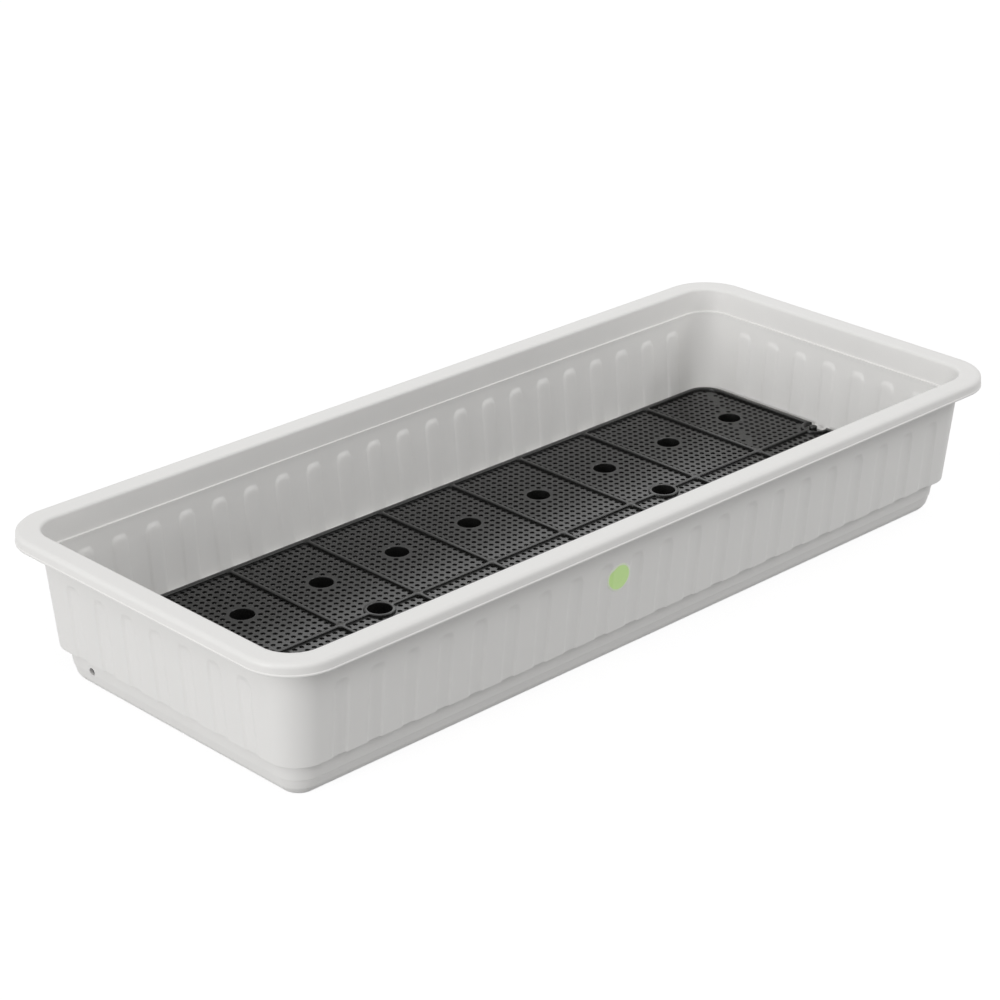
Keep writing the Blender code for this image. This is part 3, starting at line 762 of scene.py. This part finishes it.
def bite(outline, centre, radius, steps):
    """Cut a circle out of a counter-clockwise outline that has points inside it."""
    within = [math.dist(p, centre) < radius for p in outline]
    count = len(outline)
    start = next(i for i in range(count) if within[i - 1] and not within[i])
    order = [(start + i) % count for i in range(count)]
    kept = [i for i in order if not within[i]]
    enter = crossing(outline[(kept[-1] + 1) % count], outline[kept[-1]], centre, radius)
    leave = crossing(outline[start - 1], outline[start], centre, radius)
    first = math.atan2(enter[1] - centre[1], enter[0] - centre[0])
    last = math.atan2(leave[1] - centre[1], leave[0] - centre[0])
    sweep = -((first - last) % (2 * math.pi))
    arc = [(centre[0] + radius * math.cos(first + sweep * i / steps),
            centre[1] + radius * math.sin(first + sweep * i / steps)) for i in range(steps + 1)]
    return [outline[i] for i in kept] + arc


def grown(outline, amount):
    """Move an outline's points outwards along its corners' middles."""
    made = []
    for before, point, after in zip(outline[-1:] + outline[:-1], outline, outline[1:] + outline[:1]):
        a = Vector((point[1] - before[1], before[0] - point[0])).normalized()
        b = Vector((after[1] - point[1], point[0] - after[0])).normalized()
        middle = (a + b).normalized()
        shift = middle * amount / max(0.5, middle.dot(a))
        made.append((point[0] + shift.x, point[1] + shift.y))
    return made


def edge_rows(outline, top, edge):
    """The rows of an edge round an outline, under the ribs' top."""
    return [(grown(outline, outset), top - depth, level) for outset, depth, level in edge]


def distinct(outline):
    """Drop points that lie on the one before."""
    return [p for p, q in zip(outline, outline[-1:] + outline[:-1]) if math.dist(p, q) > DISTINCT]


def pocket_outlines(sizes, end, side):
    """The panels' outlines at plate level, in mm."""
    pitch, panels = sizes.panel_pitch / MM, sizes.panels
    rib, lip = sizes.rib_width / MM, sizes.lip_width / MM
    ribs = [(i - panels / 2) * pitch for i in range(1, panels)]
    edges = [-end + lip - rib / 2, *ribs, end - lip + rib / 2]
    ring = sizes.well_bore / MM / 2 + RING_WIDTH
    made = []
    for i in range(panels):
        left, right = edges[i] + rib / 2, edges[i + 1] - rib / 2
        for sign in (1, -1):
            middle_rib = sign * rib / 2
            low, high = sorted((middle_rib, sign * (side - lip)))
            radii = [POCKET_CORNER] * 4
            if i == panels - 1:
                radii[0 if sign > 0 else 3] = GRATE_CORNER - lip
            if i == 0:
                radii[1 if sign > 0 else 2] = GRATE_CORNER - lip
            outline = box_outline((left, low), (right, high), radii, POCKET_STEPS)
            for x in (-RINGED_PITCHES * pitch, RINGED_PITCHES * pitch):
                if left < x < right:
                    on_rib = [abs(point[1] - middle_rib) < NEAR for point in outline]
                    at = next(k for k in range(len(outline)) if on_rib[k] and on_rib[(k + 1) % len(outline)])
                    outline.insert(at + 1, (x, middle_rib))
                    outline = bite(outline, (x, 0), ring, RING_STEPS)
            if i in (0, panels - 1):
                outline = bite(outline, (NOTCH_CENTRE if i else -NOTCH_CENTRE, 0), ring, NOTCH_RING_STEPS)
            made.append(distinct(outline))
    return made


def grate_outline(sizes, end, side):
    """The grate's outline with its two end notches, in mm."""
    outline = box_outline((-end, -side), (end, side), [GRATE_CORNER] * 4, OUTLINE_STEPS)
    half = len(outline) // 2
    outline = outline[:half] + [(-end, 0)] + outline[half:] + [(end, 0)]
    for sign in (-1, 1):
        outline = bite(outline, (sign * NOTCH_CENTRE, 0), sizes.well_bore / MM / 2, NOTCH_STEPS)
    return distinct(outline)


class Shape:
    """Points, faces and level marks of the grate's upright walls while they are gathered."""

    LEVELS = ("rib_level", "panel_level", "under_level")

    def __init__(self):
        self.verts, self.faces = [], []
        self.marks = {level: [] for level in self.LEVELS}

    def loft(self, loops):
        """Join closed loops of equal length: each is its points, its height and its level's name or None."""
        first = len(self.verts)
        for points, z, level in loops:
            for x, y in points:
                self.verts.append((x * MM, y * MM, z * MM))
                for name in self.LEVELS:
                    self.marks[name].append(name == level)
        self.faces += sides(len(loops), len(loops[0][0]), first)

    def object(self, name):
        return mesh_object(name, self.verts, self.faces,
                           [(level, 'BOOLEAN', self.marks[level]) for level in self.LEVELS])


def well_mesh(name, sizes, mouth_z, mouth_level, under_z):
    """One hollow well about the origin: mouth, tapered bore, open foot and tapered outside."""
    mouth = sizes.well_bore / MM / 2
    foot = WELL_FOOT / 2
    foot_z = GRATE_LOW.z / MM
    skirt = foot + (mouth - foot) * (under_z - foot_z) / (mouth_z - foot_z) + WELL_WALL
    shape = Shape()
    rows = ((mouth + EASE, mouth_z, mouth_level), (mouth, mouth_z - EASE, None), (foot, foot_z + EASE, None),
            (foot + EASE, foot_z, None), (foot + WELL_WALL - EASE, foot_z, None),
            (foot + WELL_WALL, foot_z + EASE, None), (skirt, under_z, "under_level"))
    shape.loft([(circle(radius), z, level) for radius, z, level in rows])
    return shape.object(name)


def grate_tree(material, wells, ringed, bands):
    """Fills the grate's levels round its loops, sets the wells in their places and pierces the panels."""
    tree, given = new_tree("perforated_grate", [
        ("Panel Pitch", NUMBER, "Distance from panel to panel"),
        ("Panels", COUNT, "Panels along the grate"),
        ("Well Row", NUMBER, "From the middle line to each row of wells"),
        ("Rib Top", NUMBER, "Height of the ribs"),
        ("Plate Top", NUMBER, "Height of the panels"),
        ("Plate Under", NUMBER, "Height of the panels' underside"),
        ("Rib Under", NUMBER, "Height of the ribs' underside"),
        ("Hole Pitch", NUMBER, "Distance from hole to hole"),
        ("Hole Radius", NUMBER, "Radius of a hole"),
        ("Hole Columns", COUNT, "Holes along a panel"),
        ("Hole Rows", COUNT, "Holes across a panel"),
        ("Rib Reach", NUMBER, "Holes farther from a panel's middle than this are drawn in to it"),
        ("End Reach", NUMBER, "Holes farther along the grate than this are drawn in to it"),
        ("Side Reach", NUMBER, "Holes farther across the grate than this are drawn in to it"),
        ("Well Clearance", NUMBER, "No hole's middle is nearer to a well than this"),
        ("Ring Clearance", NUMBER, "No hole's middle is nearer to a ring than this"),
        ("Edge Clearance", NUMBER, "No hole's middle is nearer to a rib than this"),
        ("Band Clearance", NUMBER, "No hole's middle is nearer to a corner band than this"),
        ("Ring Place", NUMBER, "From the middle to a ringed well"),
        ("Notch Place", NUMBER, "From the middle to an end notch")])

    def pair(reach):
        """Two points at plus and minus reach along X."""
        start = add(tree, XYZ, (add(tree, MATH, (reach, -1.0), operation='MULTIPLY'),))
        end = add(tree, XYZ, (reach,))
        return add(tree, "GeometryNodeMeshLine", {"Count": 2, "Start Location": start, "Offset": end},
                   mode='END_POINTS')

    def placed(points, shape):
        """A shape at each of the points, as plain geometry."""
        there = add(tree, "GeometryNodeInstanceOnPoints", {"Points": points, "Instance": shape})
        return add(tree, "GeometryNodeRealizeInstances", (there,))

    def raised(geometry, height):
        """A copy of some geometry, moved up."""
        up = add(tree, XYZ, {2: height})
        return add(tree, "GeometryNodeTransform", {"Geometry": geometry, "Translation": up})

    def loops(geometry, level):
        """The closed loops of some geometry that are marked with a level's name."""
        marked = add(tree, "GeometryNodeInputNamedAttribute", {"Name": level}, data_type='BOOLEAN')
        return add(tree, "GeometryNodeMeshToCurve", {"Mesh": geometry, "Selection": marked})

    def sheet(curves, height, groups=0):
        """A flat sheet between loops, at a height. Loops of one group are filled together."""
        joined = add(tree, "GeometryNodeJoinGeometry", (curves,))
        return raised(add(tree, "GeometryNodeFillCurve", {"Curve": joined, "Group ID": groups}), height)

    def nearer(target, kind, limit):
        """Whether a point is nearer to some geometry than a limit."""
        apart = add(tree, "GeometryNodeProximity", {0: target, "Sample Position": here}, target_element=kind)
        return add(tree, MATH, (apart.outputs["Distance"], limit), operation='LESS_THAN')

    def within(value, limit):
        """A value held between plus and minus a limit."""
        least = add(tree, MATH, (limit, -1.0), operation='MULTIPLY')
        return add(tree, "ShaderNodeClamp", (value, least, limit))

    def span(pitch, count):
        """From the first to the last of some places."""
        steps = add(tree, MATH, (given[count], 1.0), operation='SUBTRACT')
        return add(tree, MATH, (given[pitch], steps), operation='MULTIPLY')

    here = add(tree, "GeometryNodeInputPosition")
    along = span("Panel Pitch", "Panels")
    apart = add(tree, MATH, (given["Well Row"], 2.0), operation='MULTIPLY')
    panel_places = add(tree, "GeometryNodeMeshGrid", (along, apart, given["Panels"], 2)).outputs[0]
    columns, rows = span("Hole Pitch", "Hole Columns"), span("Hole Pitch", "Hole Rows")
    lattice = add(tree, "GeometryNodeMeshGrid", (columns, rows, given["Hole Columns"], given["Hole Rows"]))
    rings = pair(given["Ring Place"])
    walls = given["Geometry"]
    well, ringed_well, band_lines = (add(tree, "GeometryNodeObjectInfo", {"Object": made}).outputs["Geometry"]
                                     for made in (wells, ringed, bands))
    well_shapes, ringed_shapes = placed(panel_places, well), placed(rings, ringed_well)

    where = add(tree, "ShaderNodeSeparateXYZ", (here,)).outputs
    steps = add(tree, MATH, (where[0], given["Panel Pitch"]), operation='DIVIDE')
    half_count = add(tree, MATH, (given["Panels"], 2.0), operation='DIVIDE')
    column = add(tree, MATH, (add(tree, MATH, (steps, half_count), operation='ADD'),), operation='FLOOR')
    column_middle = add(tree, MATH, (add(tree, MATH, (column, 0.5), operation='ADD'), half_count),
                        operation='SUBTRACT')
    panel_x = add(tree, MATH, (column_middle, given["Panel Pitch"]), operation='MULTIPLY')
    from_middle = add(tree, MATH, (where[0], panel_x), operation='SUBTRACT')
    beside_rib = add(tree, MATH, (within(from_middle, given["Rib Reach"]), panel_x), operation='ADD')
    eased = add(tree, XYZ, (within(beside_rib, given["End Reach"]), within(where[1], given["Side Reach"])))
    spread = add(tree, "GeometryNodeSetPosition", {"Geometry": placed(panel_places, lattice.outputs[0]),
                                                   "Position": eased})

    pocket_walls = raised(walls, add(tree, MATH, (given["Plate Top"], -1.0), operation='MULTIPLY'))
    ring_places = add(tree, "GeometryNodeJoinGeometry", ([rings, pair(given["Notch Place"])],))
    blocked = nearer(panel_places, 'POINTS', given["Well Clearance"])
    for other in (nearer(ring_places, 'POINTS', given["Ring Clearance"]),
                  nearer(pocket_walls, 'EDGES', given["Edge Clearance"]),
                  nearer(band_lines, 'EDGES', given["Band Clearance"])):
        blocked = add(tree, MATH, (blocked, other), operation='MAXIMUM')
    places = add(tree, "GeometryNodeDeleteGeometry", {"Geometry": spread, "Selection": blocked},
                 domain='POINT')

    ring_edge = add(tree, "GeometryNodeMeshCircle", {"Vertices": HOLE_STEPS, "Radius": given["Hole Radius"]})
    marked = ring_edge
    for name in ("panel_level", "under_level"):
        marked = add(tree, "GeometryNodeStoreNamedAttribute", {"Geometry": marked, "Name": name,
                                                               "Value": True},
                     data_type='BOOLEAN', domain='POINT')
    rims = placed(places, marked)
    down = add(tree, MATH, (given["Plate Under"], given["Plate Top"]), operation='SUBTRACT')
    drop = add(tree, XYZ, {2: down})
    bore = add(tree, "GeometryNodeExtrudeMesh", {"Mesh": ring_edge, "Offset": drop, "Offset Scale": 1.0},
               mode='EDGES')

    side = add(tree, MATH, (where[1], 0.0), operation='GREATER_THAN')
    panel = add(tree, MATH, (add(tree, MATH, (column, 2.0), operation='MULTIPLY'), side), operation='ADD')
    pockets = loops(walls, "panel_level")
    rib_top = sheet([loops(walls, "rib_level"), loops(ringed_shapes, "rib_level")], given["Rib Top"])
    panel_top = sheet([pockets, loops(well_shapes, "panel_level"), loops(rims, "panel_level")],
                      given["Plate Top"], panel)
    panel_under = sheet([pockets, loops(well_shapes, "under_level"), loops(rims, "under_level")],
                        given["Plate Under"], panel)
    rib_under = sheet([pockets, loops(walls, "under_level"), loops(ringed_shapes, "under_level")],
                      given["Rib Under"])
    bores = raised(placed(places, bore), given["Plate Top"])
    whole = [walls, well_shapes, ringed_shapes, rib_top, panel_top, panel_under, rib_under, bores]
    finish_tree(tree, add(tree, "GeometryNodeJoinGeometry", (whole,)), material)
    return tree


def corner_bands(sizes):
    """The middle lines of the hole-free bands: from each outer corner through the well to the ribs."""
    well_x = (sizes.panels - 1) / 2 * sizes.panel_pitch / MM
    well_y = sizes.well_side / MM
    run = Vector((1.0, BAND_SLOPE)).normalized()
    verts, edges = [], []
    for sx in (-1, 1):
        for sy in (-1, 1):
            for reach in (-BAND_REACH, BAND_REACH):
                verts.append(((well_x + run.x * reach) * sx * MM, (well_y + run.y * reach) * sy * MM, 0.0))
            edges.append((len(verts) - 2, len(verts) - 1))
    return mesh_object("corner_bands", verts, [], edges=edges)


class TRAY_OT_grate(Operator):
    """Build the black grate: ribs, perforated panels, wells, rings and end notches"""
    bl_idname = "tray.build_grate"
    bl_label = "Grate"

    def execute(self, context):
        sizes = context.scene.tray_grate
        skin = black_polypropylene(tuple(sizes.body_colour), sizes.roughness)
        end, side = GRATE_HIGH.x / MM, GRATE_HIGH.y / MM
        rib_top = GRATE_HIGH.z / MM - TOP_GAP
        plate_top = rib_top - sizes.rib_height / MM
        plate_under = plate_top - sizes.thickness / MM
        under = rib_top - sizes.rib_depth / MM
        shape = Shape()
        rim = grate_outline(sizes, end, side)
        shape.loft([(grown(rim, -FOOT_EASE), under, "under_level"), (rim, under + FOOT_EASE, None)]
                   + edge_rows(rim, rib_top, OUTER_EDGE))
        for outline in pocket_outlines(sizes, end, side):
            shape.loft([(outline, under, None), (outline, plate_under, None)])
            shape.loft([(outline, plate_top, "panel_level")] + edge_rows(outline, rib_top, PANEL_EDGE))
        grate = shape.object("perforated_grate")
        wells = well_mesh("well", sizes, plate_top, "panel_level", plate_under)
        ringed = well_mesh("ringed_well", sizes, rib_top, "rib_level", under)
        bands = corner_bands(sizes)
        hole = sizes.hole_diameter / 2
        clear = hole + HOLE_MARGIN * MM
        run_tree(grate, grate_tree(skin, wells, ringed, bands), {
            "Panel Pitch": sizes.panel_pitch, "Panels": sizes.panels, "Well Row": sizes.well_side,
            "Rib Top": rib_top * MM, "Plate Top": plate_top * MM, "Plate Under": plate_under * MM,
            "Rib Under": under * MM, "Rib Reach": (sizes.panel_pitch - sizes.rib_width) / 2 - clear,
            "End Reach": end * MM - sizes.lip_width - clear,
            "Side Reach": side * MM - sizes.lip_width - clear,
            "Hole Pitch": sizes.hole_pitch, "Hole Radius": hole, "Hole Columns": sizes.hole_columns,
            "Hole Rows": sizes.hole_rows, "Well Clearance": WELL_CLEARANCE * sizes.hole_pitch,
            "Ring Clearance": sizes.well_bore / 2 + hole + (RING_WIDTH + RING_MARGIN) * MM,
            "Edge Clearance": hole + HOLE_MARGIN / 2 * MM, "Band Clearance": BAND_HALF * MM,
            "Ring Place": RINGED_PITCHES * sizes.panel_pitch, "Notch Place": NOTCH_CENTRE * MM})
        settle(grate, GRATE_SHARP)
        for used in (wells, ringed, bands):
            bpy.data.objects.remove(used, do_unlink=True)
        dress(grate, skin)
        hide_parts("grate")
        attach(grate, "grate")
        return {'FINISHED'}


# The peg

PEG_STEPS = 40
PEG_ROUND = 0.3               # how far the middle of the top edge's rounding lies in, as a share of it


class TRAY_OT_peg(Operator):
    """Build the round peg in the end notch"""
    bl_idname = "tray.build_peg"
    bl_label = "Locating peg"

    def execute(self, context):
        sizes = context.scene.tray_peg
        radius = (PEG_HIGH.y - PEG_LOW.y) / 2
        foot, top, ease = PEG_LOW.z, PEG_HIGH.z, sizes.chamfer
        middle = (PEG_LOW.x + PEG_HIGH.x) / 2
        profile = [(radius - ease, foot), (radius, foot + ease), (radius, top - ease),
                   (radius - PEG_ROUND * ease, top - PEG_ROUND * ease), (radius - ease, top)]
        peg = mesh_object("peg", *lathe(profile, (middle, 0.0), PEG_STEPS))
        settle(peg)
        grate = context.scene.tray_grate
        dress(peg, black_polypropylene(tuple(grate.body_colour), grate.roughness))
        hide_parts("locating_peg")
        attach(peg, "trough")
        return {'FINISHED'}


# The label

# Sizes in mm
LABEL_THICKNESS = 0.25
LABEL_LIFT = 0.06             # between the label and the wall
LABEL_BEVEL = (0.15, 0.12)    # how far the label's edge is cut back, across and down
LABEL_RINGS = 12
LABEL_STEPS = 72


class TRAY_OT_label(Operator):
    """Build the bare round label on the front wall"""
    bl_idname = "tray.build_label"
    bl_label = "Label"

    def execute(self, context):
        sizes = context.scene.tray_label
        trough = context.scene.tray_trough
        rim_z = trough.height / MM - RIM_SKIN

        def skin(x, z):
            """How far the front wall's outside stands from the middle, at a place on it in mm."""
            belly = wall_bow(z, rim_z, trough.bow / MM) * (1 - (x / BOW_REACH) ** 2)
            return trough.rim_width / MM / 2 - wall_inset(z, rim_z) + belly - flute_press(trough, x, z)

        middle = (sizes.side / MM, sizes.height / MM)
        radius = sizes.diameter / MM / 2
        lean = math.atan(WALL_DRAFT)
        rings = [(radius * i / LABEL_RINGS, LABEL_THICKNESS) for i in range(1, LABEL_RINGS)]
        rings += [(radius - LABEL_BEVEL[0], LABEL_THICKNESS), (radius, LABEL_THICKNESS - LABEL_BEVEL[1]),
                  (radius, 0.0)]
        rings += [(radius * i / LABEL_RINGS, 0.0) for i in range(LABEL_RINGS - 1, 0, -1)]
        verts = []
        for reach, off in rings:
            for x, up in circle(reach, LABEL_STEPS):
                place = (middle[0] + x, middle[1] + up * math.cos(lean))
                stands = skin(*place) + LABEL_LIFT + off
                verts.append((place[0] * MM, -stands * MM, place[1] * MM))
        centre = Vector((sizes.side, -skin(*middle) * MM, sizes.height))
        outwards = Vector((0.0, -math.cos(lean), -math.sin(lean)))
        label = mesh_object("round_label", verts, capped(len(rings), LABEL_STEPS))
        settle(label)
        dress(label, printed_film(sizes, centre, outwards))
        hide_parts("label")
        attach(label, "trough")
        return {'FINISHED'}


# The stage

# Sizes in metres, but for the sensor's in mm
SENSOR_WIDTH = 36.0
LENS_SHIFT = (-0.00097, 0.00057)
CAMERA_ASIDE = (-27.528 * MM, 15.04 * MM)     # how far the camera is moved to the right and up
CLIP_END = 100.0
LAMP_SIZE = 4.5
LAMP_DISTANCE = 11.0
FLOOR_REACH = 15
# Where the lamps are: degrees round from the front, and over the horizon
LAMPS = (("key", -90, 12), ("fill", 45, 38), ("kicker", -45, 38), ("back", 136, 33))
FLOOR_LIT = "#969696"         # the floor as it throws light back at the tray
FLOOR_SHOWN = "#818181"       # and as it is seen, where a glow makes it white but for the tray's shadow
FLOOR_GLOW = 0.86


def seen_backdrop(tree):
    """1 for rays from the camera, and for reflected and transmitted ones, which should meet the same
    backdrop."""
    path = add(tree, "ShaderNodeLightPath").outputs
    seen = add(tree, MATH, (path["Is Camera Ray"], path["Is Glossy Ray"]), operation='MAXIMUM')
    return add(tree, MATH, (seen, path["Is Transmission Ray"]), operation='MAXIMUM')


def direction(azimuth, elevation):
    """From the tray towards a place round it, in degrees from the front and over the horizon."""
    turn, rise = math.radians(azimuth), math.radians(elevation)
    return Vector((math.sin(turn) * math.cos(rise), -math.cos(turn) * math.cos(rise), math.sin(rise)))


def lamp(name, power, azimuth, elevation):
    """A soft square lamp far off, at a direction in degrees from the front, that looks at the tray."""
    data = bpy.data.lights.new(name, 'AREA')
    data.shape = 'SQUARE'
    data.size = LAMP_SIZE
    data.energy = power
    made = bpy.data.objects.new(name, data)
    made.location = direction(azimuth, elevation) * LAMP_DISTANCE
    made.rotation_euler = (-made.location).to_track_quat('-Z', 'Y').to_euler()
    bpy.context.scene.collection.objects.link(made)


class TRAY_OT_stage(Operator):
    """Set up the camera, the lamps, the room and the floor"""
    bl_idname = "tray.build_stage"
    bl_label = "Stage"

    def execute(self, context):
        look = context.scene.tray_stage
        middle = Vector((0.0, 0.0, TROUGH_HIGH.z / 2))
        back = direction(look.azimuth, look.elevation)
        right = direction(look.azimuth + 90, 0)
        up = back.cross(right)
        data = bpy.data.cameras.new("camera")
        data.lens = look.focal_length
        data.sensor_width = SENSOR_WIDTH
        data.shift_x, data.shift_y = LENS_SHIFT
        data.clip_end = CLIP_END
        camera = bpy.data.objects.new("camera", data)
        place = middle + back * look.distance + right * CAMERA_ASIDE[0] + up * CAMERA_ASIDE[1]
        camera.matrix_world = Matrix.Translation(place) @ Matrix((right, up, back)).transposed().to_4x4()
        context.scene.collection.objects.link(camera)
        context.scene.camera = camera

        for name, azimuth, elevation in LAMPS:
            lamp(name, getattr(look, name), azimuth, elevation)

        world = bpy.data.worlds.new("room")
        world.use_nodes = True
        context.scene.world = world
        tree = world.node_tree
        tree.nodes.clear()
        light = add(tree, "ShaderNodeBackground", {"Color": WHITE, "Strength": look.ambient})
        shown = add(tree, "ShaderNodeBackground", {"Color": WHITE, "Strength": 1.0})
        mixed = add(tree, "ShaderNodeMixShader", (seen_backdrop(tree), light, shown))
        add(tree, "ShaderNodeOutputWorld", (mixed,))

        corners = [(x * FLOOR_REACH, y * FLOOR_REACH, 0) for x, y in ((-1, -1), (1, -1), (1, 1), (-1, 1))]
        floor = mesh_object("floor", corners, [(0, 1, 2, 3)])
        paper = bpy.data.materials.new("white_paper")
        paper.use_nodes = True
        tree = paper.node_tree
        tree.nodes.clear()
        ground = add(tree, "ShaderNodeBsdfDiffuse", {"Color": linear(FLOOR_LIT)})
        faint = add(tree, "ShaderNodeBsdfDiffuse", {"Color": linear(FLOOR_SHOWN)})
        glow = add(tree, "ShaderNodeEmission", {"Color": WHITE, "Strength": FLOOR_GLOW})
        bright = add(tree, "ShaderNodeAddShader", (faint, glow))
        mixed = add(tree, "ShaderNodeMixShader", (seen_backdrop(tree), ground, bright))
        add(tree, "ShaderNodeOutputMaterial", (mixed,))
        floor.data.materials.append(paper)
        context.scene.view_settings.view_transform = 'Standard'
        return {'FINISHED'}


class TRAY_PT_panel(Panel):
    """Lists the tray's pieces"""
    bl_idname = "TRAY_PT_panel"
    bl_label = "Grow Tray"
    bl_space_type = 'VIEW_3D'
    bl_region_type = 'UI'
    bl_category = "Grow Tray"

    def draw(self, context):
        for operator, name in PIECES:
            box = self.layout.box()
            group = getattr(context.scene, name)
            for key in group.__annotations__:
                box.prop(group, key)
            box.operator(operator.bl_idname)


GROUPS = {"tray_trough": TroughSettings, "tray_grate": GrateSettings, "tray_peg": PegSettings,
          "tray_label": LabelSettings, "tray_stage": StageSettings}
PIECES = ((TRAY_OT_trough, "tray_trough"), (TRAY_OT_grate, "tray_grate"), (TRAY_OT_peg, "tray_peg"),
          (TRAY_OT_label, "tray_label"), (TRAY_OT_stage, "tray_stage"))
CLASSES = (*GROUPS.values(), *(operator for operator, name in PIECES), TRAY_PT_panel)


def register():
    for made in CLASSES:
        bpy.utils.register_class(made)
    for name, group in GROUPS.items():
        setattr(bpy.types.Scene, name, PointerProperty(type=group))


def unregister():
    for name in GROUPS:
        delattr(bpy.types.Scene, name)
    for made in reversed(CLASSES):
        bpy.utils.unregister_class(made)


def main():
    register()
    for old in [o for o in bpy.data.objects if o.name in ("Cube", "Light", "Camera")]:
        bpy.data.objects.remove(old, do_unlink=True)
    bpy.ops.tray.build_trough()
    bpy.ops.tray.build_grate()
    bpy.ops.tray.build_peg()
    bpy.ops.tray.build_label()
    bpy.ops.tray.build_stage()


if __name__ == "__main__":
    main()
